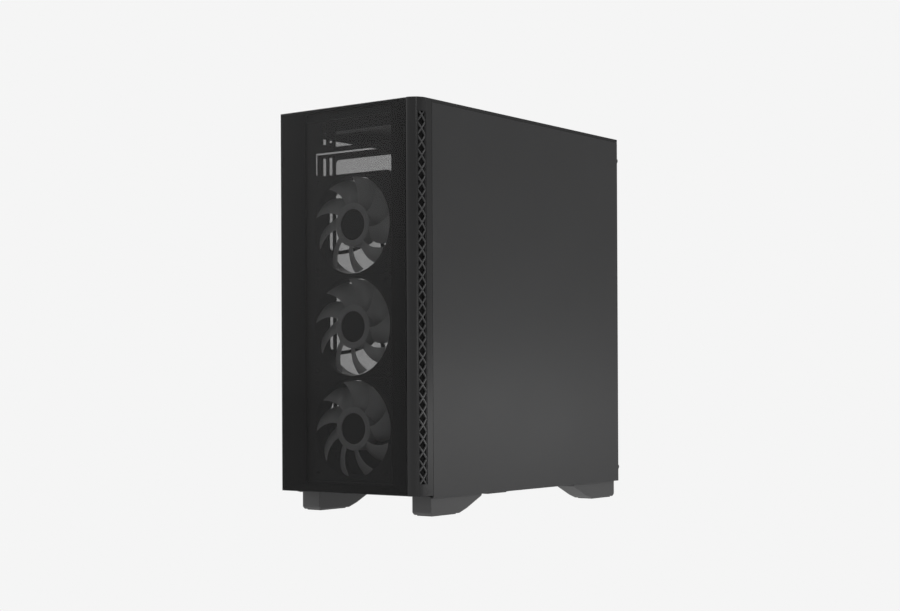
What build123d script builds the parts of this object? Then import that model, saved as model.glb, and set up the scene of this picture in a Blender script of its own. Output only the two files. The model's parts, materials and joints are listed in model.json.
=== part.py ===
"""Desktop computer tower: a mid-size steel case with a glass front and a glass left side,
three front fans, four wedge feet, and the working parts inside. Millimetres, +Z up.
The front faces -Y, the plain steel side is at +X and the glass side is at -X."""
import os
from math import atan2, degrees, hypot

from build123d import *

os.makedirs("parts", exist_ok=True)

# Driving dimensions
WIDTH = 210.0
BODY_DEPTH = 437.0
SCREW_HEAD = 6.0          # how far the rear thumbscrews stand out
HEIGHT = 480.2
BODY_BOTTOM = 25.0        # lower edge of the front bezel above the floor
PANEL_BOTTOM = 21.8       # lower edge of the side panels
SHEET = 1.0               # steel sheet thickness
GLASS = 4.0
BEZEL_DEPTH = 27.0
BEZEL_WALL = 3.0
CORNER = 16.5             # radius of the bezel's right corner
COVER = 3.6               # thickness of the top cover
GAP = 0.3                 # clearance between pieces that move apart

LEFT = -WIDTH / 2
RIGHT = WIDTH / 2
FRONT = -(BODY_DEPTH + SCREW_HEAD) / 2
COVER_BOTTOM = HEIGHT - COVER
PANEL_TOP = COVER_BOTTOM - GAP
CHASSIS_LEFT = LEFT + GLASS + 1.0
CHASSIS_RIGHT = RIGHT - SHEET - 0.6
BASE_TOP = 25.2
ROOF = PANEL_TOP - SHEET  # underside of the steel top plate
INNER_LEFT = CHASSIS_LEFT + SHEET
INNER_RIGHT = CHASSIS_RIGHT - SHEET

# Fans
FAN = 120.0
FAN_DEPTH = 25.0
FAN_BORE = 57.5
FAN_HOLES = 52.5
BLADES = 9
BLADE_TIP = 56.0
HUB = 26.0
SHAFT = 1.5
SHAFT_FIT = 0.05

# Places, measured back from the front face of the glass or up from the floor
FRONT_PLATE = 32.0
REAR_PLATE = 434.8
FAN_HEIGHTS = {"top": 341.0, "middle": 221.0, "bottom": 101.0}
FAN_PHASES = {"top": 18.0, "middle": 12.6, "bottom": 3.0}
SCREW_HEIGHTS = (40.2, 452.5)
VENT = (6.0, 16.4, 38.7, 464.4)
TRAY_X = 82.0
BOARD_X = 75.6
BOARD = (188.0, 432.0, 155.0, 460.0)
BOARD_FACE = BOARD_X - 1.6
SHROUD_TOP = 122.0
REAR_FAN = (-31.0, 400.0)
PROCESSOR = (347.0, 400.0)
COOLER_X = -20.0
SLOT_PITCH = 20.32
SLOTS = [288.0 - SLOT_PITCH * k for k in range(7)]
CARD_SLOTS = (1, 2)
CARD_Z = 272.8
CARD = (262.0, 432.0)
PSU_X = 3.0
PSU = (295.0, 434.5)
PSU_TOP = 111.4
PSU_FAN_Y = 365.0
CAGE = (-64.0, 84.0, 76.0, 194.0, 116.0)
TRAY_HEIGHTS = {"lower": 27.0, "upper": 71.0}
PORT_Y = 45.0
POWER_X = 72.0
RESET_X = 50.0
CAP_TOP = HEIGHT - 0.2
STUD_X = 94.0
STUD_HEIGHTS = (60.0, 251.0, 446.0)
THUMB_X = (-95.0, 99.0)
FOOT_WIDTH = 28.0
FOOT_X = (-99.0, 71.0)
FOOT_Y = ((30.0, False), (BODY_DEPTH - 1 - 101.0, True))
WINDOW = ((-93.0, 69.0), (38.0, 466.0))
CROSSES = 28
CROSS_PITCH = 15.38
CROSS_LOW = 44.7          # height of the lowest crossing
BAR = 1.8
PORT_WINDOW = ((29.0, 75.0), (299.0, 457.6))
PSU_SCREWS = [(PSU_X + dx, z) for dx in (-69.5, 69.5) for z in (36.0, 103.0)]
TOP_FANS = (180.0, 320.0)
USB_X = (-30.0, -8.0)
JACK_X = (14.0, 30.0)
FILTER = ((-90.0, 90.0), (66.0, 424.0))
TOP_FILTER = ((-89.6, 89.6), (66.4, 423.6), (COVER_BOTTOM + 0.1, HEIGHT - 0.6))
PSU_FILTER = ((-62.0, 66.0), (262.0, 431.0), (19.2, 22.2))
FIXINGS = [(y, z) for y in (196.0, 268.0, 424.0) for z in (161.5, 295.0, 453.0)]
MEMORY_Y = (232.0, 241.0, 250.0, 259.0)
PORTS = [((58, 440), (30, 14)), ((58, 418), (30, 14)), ((58, 396), (30, 14)), ((60, 372), (26, 16)),
         ((62, 350), (22, 8)), ((60, 322), (26, 30))]
COOLER_Y = 320.0
FINS = 23
FIN_PITCH = 5.0
GPU_FAN = (11.0, 347.0)
INLET = ((PSU_X + 25.0, PSU_X + 56.0), (38.0, 62.0))
SWITCH = ((PSU_X + 34.0, PSU_X + 49.0), (72.0, 92.0))
SWITCH_PIVOT = 4.0
SWITCH_R = 8.4


def back(offset):
    """The Y that lies this far behind the front face of the glass."""
    return FRONT + offset


def block(x, y, z):
    """A box between three (low, high) pairs, with Y measured back from the front."""
    place = Pos((x[0] + x[1]) / 2, back((y[0] + y[1]) / 2), (z[0] + z[1]) / 2)
    return place * Box(abs(x[1] - x[0]), y[1] - y[0], z[1] - z[0])


def rod(x, y, z, axis, radius, length):
    """A round bar that starts at a point and runs along an axis."""
    start = Plane(origin=(x, back(y), z), z_dir=axis)
    return start * Cylinder(radius, length, align=(Align.CENTER, Align.CENTER, Align.MIN))


def join(solids):
    """The solids fused into one."""
    solids = list(solids)
    return solids[0].fuse(*solids[1:]) if len(solids) > 1 else solids[0]


def group(solids):
    """Separate solids kept as one node."""
    return Compound(children=[s for solid in solids for s in solid.solids()])


def fan_plane(x, y, z):
    """A fan's own frame: its intake face is at local Z 0 and it blows towards +Y."""
    return Plane(origin=(x, back(y), z), x_dir=(1, 0, 0), z_dir=(0, 1, 0))


# Fans

def fan_body():
    """A square frame with two flanges, a barrel, a motor seat and four leaning struts."""
    low = (Align.CENTER, Align.CENTER, Align.MIN)
    square = RectangleRounded(FAN, FAN, 6) - Circle(FAN_BORE)
    for x in (-FAN_HOLES, FAN_HOLES):
        for y in (-FAN_HOLES, FAN_HOLES):
            square -= Pos(x, y) * Circle(2.15)
    flange = extrude(square, 4)
    barrel = extrude(Circle(FAN_BORE + 1.8) - Circle(FAN_BORE), FAN_DEPTH) & Box(FAN, FAN, 60)
    seat = Pos(0, 0, 21.5) * Cylinder(24, 3.5, align=low)
    strut = Pos(-20, 22.5, 23.2) * Rot(0, 0, -5) * Box(76, 4.5, 3)
    struts = [Rot(0, 0, 90 * i) * strut & Cylinder(FAN_BORE + 1, 60) for i in range(4)]
    body = join([flange, Pos(0, 0, FAN_DEPTH - 4) * flange, barrel, seat] + struts)
    return body - Pos(0, 0, 20) * Cylinder(SHAFT + SHAFT_FIT, 3.6, align=low)


def fan_rotor(tip, hub, depth, chord, pitch, phase, shaft_end):
    """A hub with pitched blades and a shaft that runs back to shaft_end."""
    low = (Align.CENTER, Align.CENTER, Align.MIN)
    ring = Cylinder(tip, 60) - Cylinder(hub - 1.5, 60)
    blade = Pos((tip + hub) / 2, 0, depth / 2) * Rot(pitch, 0, 0) * Box(tip - hub + 8, chord, 1.8)
    blade = blade & ring
    hub_cup = Pos(0, 0, 1.5) * Cylinder(hub, depth - 2, align=low)
    hub_cup = fillet(hub_cup.faces().sort_by(Axis.Z)[0].edges(), 2)
    shaft = Pos(0, 0, depth - 2) * Cylinder(SHAFT, shaft_end - depth + 2, align=low)
    blades = [Rot(0, 0, phase + 360 * i / BLADES) * blade for i in range(BLADES)]
    return join([hub_cup, shaft] + blades)


def case_rotor(phase):
    """The rotor of a 120 mm case fan."""
    return fan_rotor(BLADE_TIP, HUB, 20, 29, 36, phase, 23.4)


def fan_screws(x, y, z, heading):
    """Four self-cutting screws, heads outside, shanks running along Y by heading."""
    screws = []
    for dx in (-FAN_HOLES, FAN_HOLES):
        for dz in (-FAN_HOLES, FAN_HOLES):
            shank = rod(x + dx, y, z + dz, (0, heading, 0), 2.1, 8.5)
            screws.append(shank + rod(x + dx, y, z + dz, (0, -heading, 0), 4, 2))
    return screws


# Chassis

def slot_grid(columns, rows, width, length):
    """Rounded slots for a vent: one flat pattern, long way along X."""
    vent = Sketch()
    for x in columns:
        for y in rows:
            vent += Pos(x, y) * SlotOverall(length, width)
    return vent


def base_plate():
    """The steel floor with folded sides, the power supply's intake and the filter's rails."""
    x = (CHASSIS_LEFT, CHASSIS_RIGHT)
    y = (BEZEL_DEPTH + 0.6, REAR_PLATE)
    plate = block(x, y, (BASE_TOP - SHEET, BASE_TOP))
    rows = [back(PSU_FAN_Y - 50 + 10 * i) for i in range(11)]
    vent = slot_grid((PSU_X - 24, PSU_X + 24), rows, 6, 42)
    plate -= extrude(Pos(0, 0, BASE_TOP - 3) * vent, 6)
    sides = [
        block((x[0], x[0] + SHEET), y, (BASE_TOP, 33)),
        block((x[1] - SHEET, x[1]), y, (BASE_TOP, 33)),
    ]
    rails = []
    for edge, way in ((-62.3, -1), (66.3, 1)):
        outer = sorted((edge + way * 1.8, edge + way * 3.2))
        lip = sorted((edge - way * 2.5, edge + way * 3.2))
        rails.append(block(outer, (262, 434), (17.8, BASE_TOP - SHEET)))
        rails.append(block(lip, (262, 434), (17.8, 18.8)))
    return join([plate] + sides + rails)


def front_plate():
    """The steel plate behind the fans: a tall opening, fan slots and a loose upper tab."""
    x = (INNER_LEFT, INNER_RIGHT)
    y = (FRONT_PLATE, FRONT_PLATE + SHEET)
    plate = block(x, y, (BASE_TOP, ROOF))
    middle = (422.5 + 41) / 2
    face = Plane(origin=(0, back(FRONT_PLATE - 2), middle), x_dir=(1, 0, 0), z_dir=(0, 1, 0))
    plate -= extrude(face * RectangleRounded(89.5, 422.5 - 41, 5), 6)
    plate -= block((-45, 44.5), (30, 35), (439, 470))
    for x_slot in (-62.5, -FAN_HOLES, FAN_HOLES, 62.5):
        for z in ((44, 157), (165, 277), (285, 426)):
            plate -= block((x_slot - 2.5, x_slot + 2.5), (30, 35), z)
    for way in (-1, 1):
        plate -= block(sorted((way * 60, way * 65)), (30, 35), (442.5, 470))
        plate -= rod(way * FAN_HOLES, 30, 446, (0, 1, 0), 2.4, 6)
    plate -= block((-75.3, 75.3), (30, 35), (430.8, 433))
    for way in (-1, 1):
        plate -= block(sorted((way * 74, way * 76.5)), (30, 35), (407, 433))
        for z in STUD_HEIGHTS:
            plate -= rod(way * STUD_X, 30, z, (0, 1, 0), 2.75, 6)
    flanges = [
        block((x[0], x[0] + SHEET), (BEZEL_DEPTH + 0.6, FRONT_PLATE), (BASE_TOP, ROOF)),
        block((x[1] - SHEET, x[1]), (BEZEL_DEPTH + 0.6, FRONT_PLATE), (BASE_TOP, ROOF)),
    ]
    return join([plate] + flanges)


def rear_plate():
    """The steel back: fan grille, port window, card slots, power supply window, screw ledge."""
    y = (REAR_PLATE, REAR_PLATE + SHEET)
    through = (REAR_PLATE - 2, REAR_PLATE + 3)
    plate = block((INNER_LEFT, INNER_RIGHT), y, (BASE_TOP, ROOF))
    fan_x, fan_z = REAR_FAN
    circle = rod(fan_x, REAR_PLATE - 2, fan_z, (0, 1, 0), 55, 5)
    for i in range(-6, 7):
        stripe = block((fan_x - 60, fan_x + 60), through, (fan_z + 8.4 * i - 3, fan_z + 8.4 * i + 3))
        plate -= stripe & circle
    for dx in (-FAN_HOLES, FAN_HOLES):
        for dz in (-FAN_HOLES, FAN_HOLES):
            plate -= rod(fan_x + dx, REAR_PLATE - 2, fan_z + dz, (0, 1, 0), 2.3, 5)
    plate -= block(PORT_WINDOW[0], through, PORT_WINDOW[1])
    for z in SLOTS:
        plate -= block((-38, 66), through, (z - 6.5, z + 6.5))
    plate -= block((PSU_X - 65, PSU_X + 65), through, (30, 107))
    for x, z in PSU_SCREWS:
        plate -= rod(x, REAR_PLATE - 2, z, (0, 1, 0), 1.9, 5)
    for x in THUMB_X:
        for z in SCREW_HEIGHTS:
            plate -= rod(x, REAR_PLATE - 2, z, (0, 1, 0), 2.0, 5)
    ledge = block((-47, -46), (421, 433.2), (SLOTS[-1] - 13, SLOTS[0] + 13))
    for z in SLOTS:
        ledge -= rod(-49, 427, z, (1, 0, 0), 1.7, 5)
    lugs = []
    for z in (SLOTS[-1] - 13, SLOTS[0] + 10):
        lugs.append(block((-47, -46), (433.2, REAR_PLATE), (z, z + 3)))
    return join([plate, ledge] + lugs)


def top_plate():
    """The steel roof with folded sides, the control window, a slit and the vent."""
    x = (CHASSIS_LEFT, CHASSIS_RIGHT)
    y = (BEZEL_DEPTH + 0.6, REAR_PLATE)
    plate = block(x, y, (ROOF, PANEL_TOP))
    plate -= block((-80, 84), (35, 56), (ROOF - 2, PANEL_TOP + 2))
    plate -= block((-75, 75), (58.6, 61), (ROOF - 2, PANEL_TOP + 2))
    rows = [back(98 + 10 * i) for i in range(33)]
    vent = slot_grid((-23, 23), rows, 6, 40)
    plate -= extrude(Pos(0, 0, ROOF - 2) * vent, 6)
    for centre in TOP_FANS:
        for dx in (-FAN_HOLES, FAN_HOLES):
            for dy in (-FAN_HOLES, FAN_HOLES):
                plate -= rod(dx, centre + dy, ROOF - 2, (0, 0, 1), 2.2, 5)
    low = 457.5
    sides = [
        block((x[0], x[0] + SHEET), (FRONT_PLATE + 1.5, y[1]), (low, ROOF)),
        block((x[1] - SHEET, x[1]), (FRONT_PLATE + 1.5, y[1]), (low, ROOF)),
    ]
    return join([plate] + sides)


def board_tray():
    """The upright steel wall that carries the mainboard, with cable and processor windows."""
    wall = block((TRAY_X, TRAY_X + SHEET), (62, REAR_PLATE), (SHROUD_TOP, ROOF))
    wall -= block((TRAY_X - 2, TRAY_X + 3), (295, 400), (352, 448))
    for z in (170, 255, 340):
        wall -= block((TRAY_X - 2, TRAY_X + 3), (150, 174), (z, z + 60))
    return wall


def psu_shroud():
    """The cover over the power supply and drives: a top with cable slots and a left wall."""
    top = block((INNER_LEFT + 0.4, INNER_RIGHT - 0.4), (60, REAR_PLATE), (SHROUD_TOP - SHEET, SHROUD_TOP))
    for x in (-60, 0, 60):
        top -= block((x - 18, x + 18), (210, 222), (SHROUD_TOP - 3, SHROUD_TOP + 2))
    left = (INNER_LEFT + 0.4, INNER_LEFT + 0.4 + SHEET)
    wall = block(left, (60, REAR_PLATE), (BASE_TOP, SHROUD_TOP - SHEET))
    return join([top, wall])


def drive_cage():
    """A sheet box, open at both ends, with ledges for the upper tray."""
    x0, x1, y0, y1, top = CAGE
    x = (x0, x1)
    pieces = [
        block(x, (y0, y0 + SHEET), (BASE_TOP, top)),
        block(x, (y1 - SHEET, y1), (BASE_TOP, top)),
        block(x, (y0, y1), (top - SHEET, top)),
        block(x, (y0, y1), (BASE_TOP, BASE_TOP + SHEET)),
    ]
    ledge = TRAY_HEIGHTS["upper"] - 0.2
    pieces.append(block(x, (y0, y0 + 5), (ledge - SHEET, ledge)))
    pieces.append(block(x, (y1 - 5, y1), (ledge - SHEET, ledge)))
    return join(pieces)


def drive_tray(height):
    """A plastic tray with low side walls and a gripping lip at its outer end."""
    x0, x1, y0, y1, _ = CAGE
    y = (y0 + 1.4, y1 - 1.4)
    floor = block((x0 + 1, x1 + 1), y, (height, height + 2))
    walls = [
        block((x0 + 1, x1 + 1), (y[0], y[0] + 2.4), (height, height + 12)),
        block((x0 + 1, x1 + 1), (y[1] - 2.4, y[1]), (height, height + 12)),
        block((x1 + 1, x1 + 3), y, (height, height + 38)),
    ]
    tray = join([floor] + walls)
    return tray - block((x1, x1 + 4), (120, 150), (height + 10, height + 26))


def hard_drive():
    """A 3.5-inch drive with chamfered edges and a raised lid."""
    low = TRAY_HEIGHTS["lower"] + 2
    body = block((-62, 83), (84, 185.6), (low, low + 24))
    body = chamfer(body.edges().filter_by(Axis.Z), 3)
    return body + block((-56, 77), (89, 180), (low + 24, low + 26))


def solid_state_drive():
    """A 2.5-inch drive on the cable side of the tray."""
    body = block((TRAY_X + SHEET, TRAY_X + SHEET + 7), (72, 142), (210, 310))
    return fillet(body.edges().filter_by(Axis.X), 3)


def foot(y_front, turned):
    """A wedge foot, its slope facing the middle of the case."""
    profile = [
        (0, BASE_TOP - SHEET), (0, 4), (3, 1), (56, 1), (70, 5.5), (101, 19), (101, BASE_TOP - SHEET),
    ]
    if turned:
        profile = [(101 - y, z) for y, z in reversed(profile)]
    points = [(0, back(y_front + y), z) for y, z in profile]
    side = make_face(Polyline(*points, close=True))
    return extrude(side, amount=FOOT_WIDTH, dir=(1, 0, 0))


def feet():
    """Four wedge feet."""
    made = []
    for x in FOOT_X:
        for y, turned in FOOT_Y:
            made.append(Pos(x, 0, 0) * foot(y, turned))
    return group(made)


def foot_pads():
    """A thin rubber pad under each foot."""
    made = []
    for x in FOOT_X:
        for y, turned in FOOT_Y:
            low = y + (101 - 52 if turned else 6)
            pad = block((x + 3, x + FOOT_WIDTH - 3), (low, low + 46), (0, 1))
            made.append(pad)
    return group(made)


# Front bezel

def bezel_outline(inset):
    """The bezel's plan: square on the left, rounded on the right, shrunk by inset."""
    x0 = LEFT + inset
    x1 = RIGHT - inset
    radius = CORNER - inset
    centre = (RIGHT - CORNER, back(CORNER))
    front = centre[1] - radius
    lines = Polyline((centre[0], front), (x0, front), (x0, back(BEZEL_DEPTH)), (x1, back(BEZEL_DEPTH)),
                     (x1, centre[1]))
    arc = CenterArc(centre, radius, 270, 90)
    return make_face([lines.edges(), arc.edges()])


def bezel_frame():
    """The plastic frame: a ring round the fans with a front window and two side vents."""
    shell = extrude(Pos(0, 0, BODY_BOTTOM) * bezel_outline(0), HEIGHT - BODY_BOTTOM)
    inside = extrude(Pos(0, 0, BODY_BOTTOM + BEZEL_WALL) * bezel_outline(BEZEL_WALL),
                     HEIGHT - BODY_BOTTOM - 2 * BEZEL_WALL)
    inside -= block((LEFT, RIGHT), (0, GLASS + BEZEL_WALL), (0, HEIGHT))
    shell -= inside
    shell -= block((LEFT - 1, RIGHT - CORNER), (-1, GLASS), (0, HEIGHT + 1))
    shell -= block(WINDOW[0], (0, 10), WINDOW[1])
    for x in ((LEFT - 1, LEFT + 4), (RIGHT - 9, RIGHT + 1)):
        shell -= block(x, VENT[:2], VENT[2:])
    bosses = []
    for z in STUD_HEIGHTS:
        bosses.append(block((LEFT + 2, -STUD_X + 5), (22, BEZEL_DEPTH), (z - 6, z + 6)))
        bosses.append(block((STUD_X - 5, RIGHT - 2), (22, BEZEL_DEPTH), (z - 6, z + 6)))
    return join([shell] + bosses)


def bezel_studs():
    """Six studs that snap into the front plate."""
    made = []
    for x in (-STUD_X, STUD_X):
        for z in STUD_HEIGHTS:
            stud = rod(x, BEZEL_DEPTH, z, (0, 1, 0), 2.4, 9)
            made.append(chamfer(stud.faces().sort_by(Axis.Y)[-1].edges(), 1))
    return group(made)


def front_glass():
    """The tinted front pane, flush with the bezel's rounded corner."""
    pane = block((LEFT, RIGHT - CORNER - 0.2), (0, GLASS), (BODY_BOTTOM, HEIGHT))
    return chamfer(pane.faces().sort_by(Axis.Y)[0].edges(), 0.5)


def lattice(x_low):
    """One column of crossed bars between two rails, run along X."""
    y0, y1, z0, z1 = VENT[0] + 0.1, VENT[1] - 0.1, VENT[2] + 0.1, VENT[3] - 0.1
    width = y1 - y0
    lean = degrees(atan2(CROSS_PITCH, width))
    length = hypot(width, CROSS_PITCH) + 3
    bars = []
    for k in range(CROSSES):
        centre = Pos(0, CROSS_LOW + k * CROSS_PITCH - (z0 + z1) / 2)
        bars.append(centre * Rot(0, 0, lean) * Rectangle(length, BAR))
        bars.append(centre * Rot(0, 0, -lean) * Rectangle(length, BAR))
    edge = (width - 1) / 2
    rails = [Pos(way * edge, 0) * Rectangle(1, z1 - z0) for way in (-1, 1)]
    pattern = (Sketch() + bars + rails) & Rectangle(width, z1 - z0)
    place = Plane(origin=(x_low, back((y0 + y1) / 2), (z0 + z1) / 2), x_dir=(0, 1, 0), z_dir=(1, 0, 0))
    return extrude(place * pattern, 14)


def grille_right():
    """The crossed vent in the rounded corner: bars that follow the bezel's curve."""
    outer = extrude(Pos(0, 0, VENT[2]) * bezel_outline(0.8), VENT[3] - VENT[2])
    inner = extrude(Pos(0, 0, VENT[2]) * bezel_outline(2.6), VENT[3] - VENT[2])
    return lattice(RIGHT - 13) & (outer - inner)


def grille_left():
    """The same vent in the flat left side."""
    slab = block((LEFT + 0.8, LEFT + 2.6), VENT[:2], VENT[2:])
    return lattice(LEFT - 2) & slab


def vent_filters():
    """A thin dust sheet behind each crossed vent, lying on the bezel's inner wall."""
    y = (GLASS + BEZEL_WALL, 21.9)
    z = (VENT[2] - 2, VENT[3] + 2)
    outer = extrude(Pos(0, 0, z[0]) * bezel_outline(BEZEL_WALL), z[1] - z[0])
    inner = extrude(Pos(0, 0, z[0]) * bezel_outline(BEZEL_WALL + 0.5), z[1] - z[0])
    right = (outer - inner) & block((RIGHT - 12, RIGHT), y, z)
    left = block((LEFT + BEZEL_WALL, LEFT + BEZEL_WALL + 0.5), y, z)
    return group([right, left])


# Side panels

def side_panel():
    """The plain steel side with a bottom lip and a rear flange."""
    y = (BEZEL_DEPTH + 0.5, BODY_DEPTH)
    z = (PANEL_BOTTOM, PANEL_TOP)
    plate = block((RIGHT - SHEET, RIGHT), y, z)
    lip = block((99.6, RIGHT), y, (PANEL_BOTTOM, PANEL_BOTTOM + SHEET))
    flange = block((92, RIGHT), (BODY_DEPTH - SHEET, BODY_DEPTH), z)
    for height in SCREW_HEIGHTS:
        flange -= rod(THUMB_X[1], BODY_DEPTH - 3, height, (0, 1, 0), 1.8, 5)
    return join([plate, lip, flange])


def thumbscrews(x):
    """Two screws with knurled heads, held in a panel's rear flange."""
    made = []
    for z in SCREW_HEIGHTS:
        head = rod(x, BODY_DEPTH, z, (0, 1, 0), 4.2, SCREW_HEAD)
        head = chamfer(head.faces().sort_by(Axis.Y)[-1].edges(), 0.6)
        made.append(head + rod(x, BODY_DEPTH - 8, z, (0, 1, 0), 1.75, 8))
    return group(made)


def side_glass():
    """The clear left pane."""
    pane = block((LEFT, LEFT + GLASS), (BEZEL_DEPTH + 0.5, BODY_DEPTH - 1.1), (PANEL_BOTTOM, PANEL_TOP))
    return chamfer(pane.faces().sort_by(Axis.X)[0].edges(), 0.5)


def glass_frame():
    """The steel strips glued inside the pane, with the rear flange."""
    y = (BEZEL_DEPTH + 0.5, BODY_DEPTH - 1.1)
    z = (PANEL_BOTTOM, PANEL_TOP)
    x = (LEFT + GLASS, LEFT + GLASS + 0.7)
    ring = block(x, y, z) - block((x[0] - 1, x[1] + 1), (y[0] + 12, y[1] - 12), (z[0] + 12, z[1] - 12))
    web = block(x, (y[1] - 2, BODY_DEPTH - SHEET), z)
    flange = block((LEFT, -89), (BODY_DEPTH - SHEET, BODY_DEPTH), z)
    for height in SCREW_HEIGHTS:
        flange -= rod(THUMB_X[0], BODY_DEPTH - 3, height, (0, 1, 0), 1.8, 5)
    return join([ring, web, flange])


# Top cover, controls and filters

def top_cover():
    """The plastic top with openings for the filter, the ports and the two buttons."""
    y = (BEZEL_DEPTH + 0.4, BODY_DEPTH)
    cover = block((LEFT, RIGHT), y, (COVER_BOTTOM, HEIGHT))
    cover -= block(FILTER[0], FILTER[1], (COVER_BOTTOM - 1, HEIGHT + 1))
    cover -= block((-12, 12), (FILTER[1][1] - 1, FILTER[1][1] + 8), (HEIGHT - 1.8, HEIGHT + 1))
    for x in USB_X:
        cover -= block((x - 6.8, x + 6.8), (PORT_Y - 3.2, PORT_Y + 3.2), (COVER_BOTTOM - 1, HEIGHT + 1))
    for x, radius in list((jack, 3.4) for jack in JACK_X) + [(POWER_X, 8.4), (RESET_X, 3.4)]:
        cover -= rod(x, PORT_Y, COVER_BOTTOM - 1, (0, 0, 1), radius, 8)
    return cover


def port_block():
    """The carrier under the top cover, with two sockets, two jacks and the button guides."""
    carrier = block((-70, 83.5), (35.5, 55.5), (458, 475))
    for x in USB_X:
        shell = block((x - 6.6, x + 6.6), (PORT_Y - 3, PORT_Y + 3), (474, HEIGHT - 1))
        mouth = block((x - 6.1, x + 6.1), (PORT_Y - 2.5, PORT_Y + 2.5), (464, HEIGHT))
        tongue = block((x - 5.5, x + 5.5), (PORT_Y + 0.2, PORT_Y + 2), (463, HEIGHT - 2))
        carrier = carrier + shell - mouth + tongue
    for x in JACK_X:
        jack = rod(x, PORT_Y, 474, (0, 0, 1), 3.2, HEIGHT - 475)
        carrier = carrier + jack - rod(x, PORT_Y, 464, (0, 0, 1), 1.8, 20)
    for x in (POWER_X, RESET_X):
        carrier -= rod(x, PORT_Y, 461, (0, 0, 1), 2.05, 20)
    return carrier


def button(x, radius):
    """A round push button on a guide stem."""
    cap = rod(x, PORT_Y, CAP_TOP - 3, (0, 0, 1), radius, 3)
    cap = fillet(cap.faces().sort_by(Axis.Z)[-1].edges(), 0.5)
    return cap + rod(x, PORT_Y, 464, (0, 0, 1), 2.0, CAP_TOP - 466)


def filter_frame(x, y, z, bar, crossbars):
    """A flat frame with crossbars."""
    frame = block(x, y, z) - block((x[0] + bar, x[1] - bar), (y[0] + bar, y[1] - bar), (z[0] - 1, z[1] + 1))
    span = y[1] - y[0]
    bars = []
    for i in range(1, crossbars + 1):
        middle = y[0] + span * i / (crossbars + 1)
        bars.append(block(x, (middle - 2, middle + 2), z))
    return join([frame] + bars)


def filter_mesh(x, y, z, bar, crossbars):
    """The fine mesh in each window of a filter frame."""
    span = y[1] - y[0]
    cuts = [y[0] + span * i / (crossbars + 1) for i in range(crossbars + 2)]
    middle = (z[0] + z[1]) / 2
    sheets = []
    for i in range(crossbars + 1):
        low = cuts[i] + (bar if i == 0 else 2)
        high = cuts[i + 1] - (bar if i == crossbars else 2)
        sheets.append(block((x[0] + bar, x[1] - bar), (low, high), (middle - 0.3, middle + 0.3)))
    return group(sheets)


def psu_filter_frame():
    """The filter under the power supply, with a pull tab at the rear."""
    frame = filter_frame(*PSU_FILTER, 8, 1)
    tab = block((PSU_X - 20, PSU_X + 20), (PSU_FILTER[1][1] - 1, 436), (PSU_FILTER[2][0], PSU_FILTER[2][1]))
    return join([frame, tab])


# Electronics

def mainboard():
    """The printed circuit board with its nine fixing holes."""
    board = block((BOARD_FACE, BOARD_X), BOARD[:2], BOARD[2:])
    for y, z in FIXINGS:
        board -= rod(BOARD_FACE - 1, y, z, (1, 0, 0), 1.9, 5)
    return board


def board_standoffs():
    """Nine threaded posts between the tray and the board."""
    made = []
    for y, z in FIXINGS:
        place = Plane(origin=(BOARD_X, back(y), z), z_dir=(1, 0, 0))
        post = extrude(place * RegularPolygon(3, 6), TRAY_X - BOARD_X)
        made.append(post - rod(BOARD_X, y, z, (1, 0, 0), 1.65, 5))
    return group(made)


def board_screws():
    """Nine screws that hold the board."""
    made = []
    for y, z in FIXINGS:
        head = rod(BOARD_FACE, y, z, (-1, 0, 0), 3.1, 2)
        made.append(head + rod(BOARD_FACE, y, z, (1, 0, 0), 1.6, 5.5))
    return group(made)


def on_board(y, z, height):
    """A block that stands on the board's face."""
    return block((BOARD_FACE - height, BOARD_FACE), y, z)


def board_parts():
    """Socket, heatsinks, memory and card slots, connectors and the rear port stacks."""
    cpu_y, cpu_z = PROCESSOR
    made = [on_board((cpu_y - 25, cpu_y + 25), (cpu_z - 28, cpu_z + 28), 6)]
    made += [on_board((y - 3, y + 3), (325, 455), 4) for y in MEMORY_Y]
    made += [on_board((240, 300), (180, 230), 12)]
    made += [on_board((190, 198), (370, 420), 12), on_board((189, 203), (245, 262), 9)]
    sink = on_board((382, 404), (345, 452), 26)
    for i in range(5):
        sink -= block((40, BOARD_FACE - 6), (384 + 4 * i, 386 + 4 * i), (340, 456))
    made.append(sink)
    made.append(on_board((325, 372), (434, 452), 22))
    card = block((62, BOARD_FACE), (280, 369), (CARD_Z - 3.7, CARD_Z + 3.7))
    groove = block((60, 67), (279, 370), (CARD_Z - 0.9, CARD_Z + 0.9))
    made.append(card - groove)
    short = SLOTS[4] + 5
    made.append(block((62, BOARD_FACE), (340, 366), (short - 3.7, short + 3.7)))
    for (x, z), (width, height) in PORTS:
        port = block((x - width / 2, BOARD_FACE), (410, REAR_PLATE + 0.6), (z - height / 2, z + height / 2))
        mouth = block((x - width / 2 + 1, x + width / 2 - 1), (424, 440), (z - height / 2 + 1, z + height / 2 - 1))
        made.append(port - mouth)
    return group(made)


def io_shield():
    """The thin plate round the rear ports."""
    x = (PORT_WINDOW[0][0] + 0.2, PORT_WINDOW[0][1] - 0.2)
    z = (PORT_WINDOW[1][0] + 0.2, PORT_WINDOW[1][1] - 0.2)
    plate = block(x, (REAR_PLATE, REAR_PLATE + SHEET), z)
    for (x_port, z_port), (width, height) in PORTS:
        hole_x = (x_port - width / 2 - 0.3, BOARD_FACE + 0.3)
        plate -= block(hole_x, (430, 440), (z_port - height / 2 - 0.3, z_port + height / 2 + 0.3))
    return plate


def memory_modules():
    """Two memory modules with heat spreaders."""
    made = []
    for y in MEMORY_Y[1::2]:
        spreader = block((36, 66), (y - 3.2, y + 3.2), (323, 457))
        spreader -= block((30, 39), (y - 5, y + 5), (360, 420))
        made.append(spreader + block((66, 70), (y - 0.7, y + 0.7), (325, 455)))
    return group(made)


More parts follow.
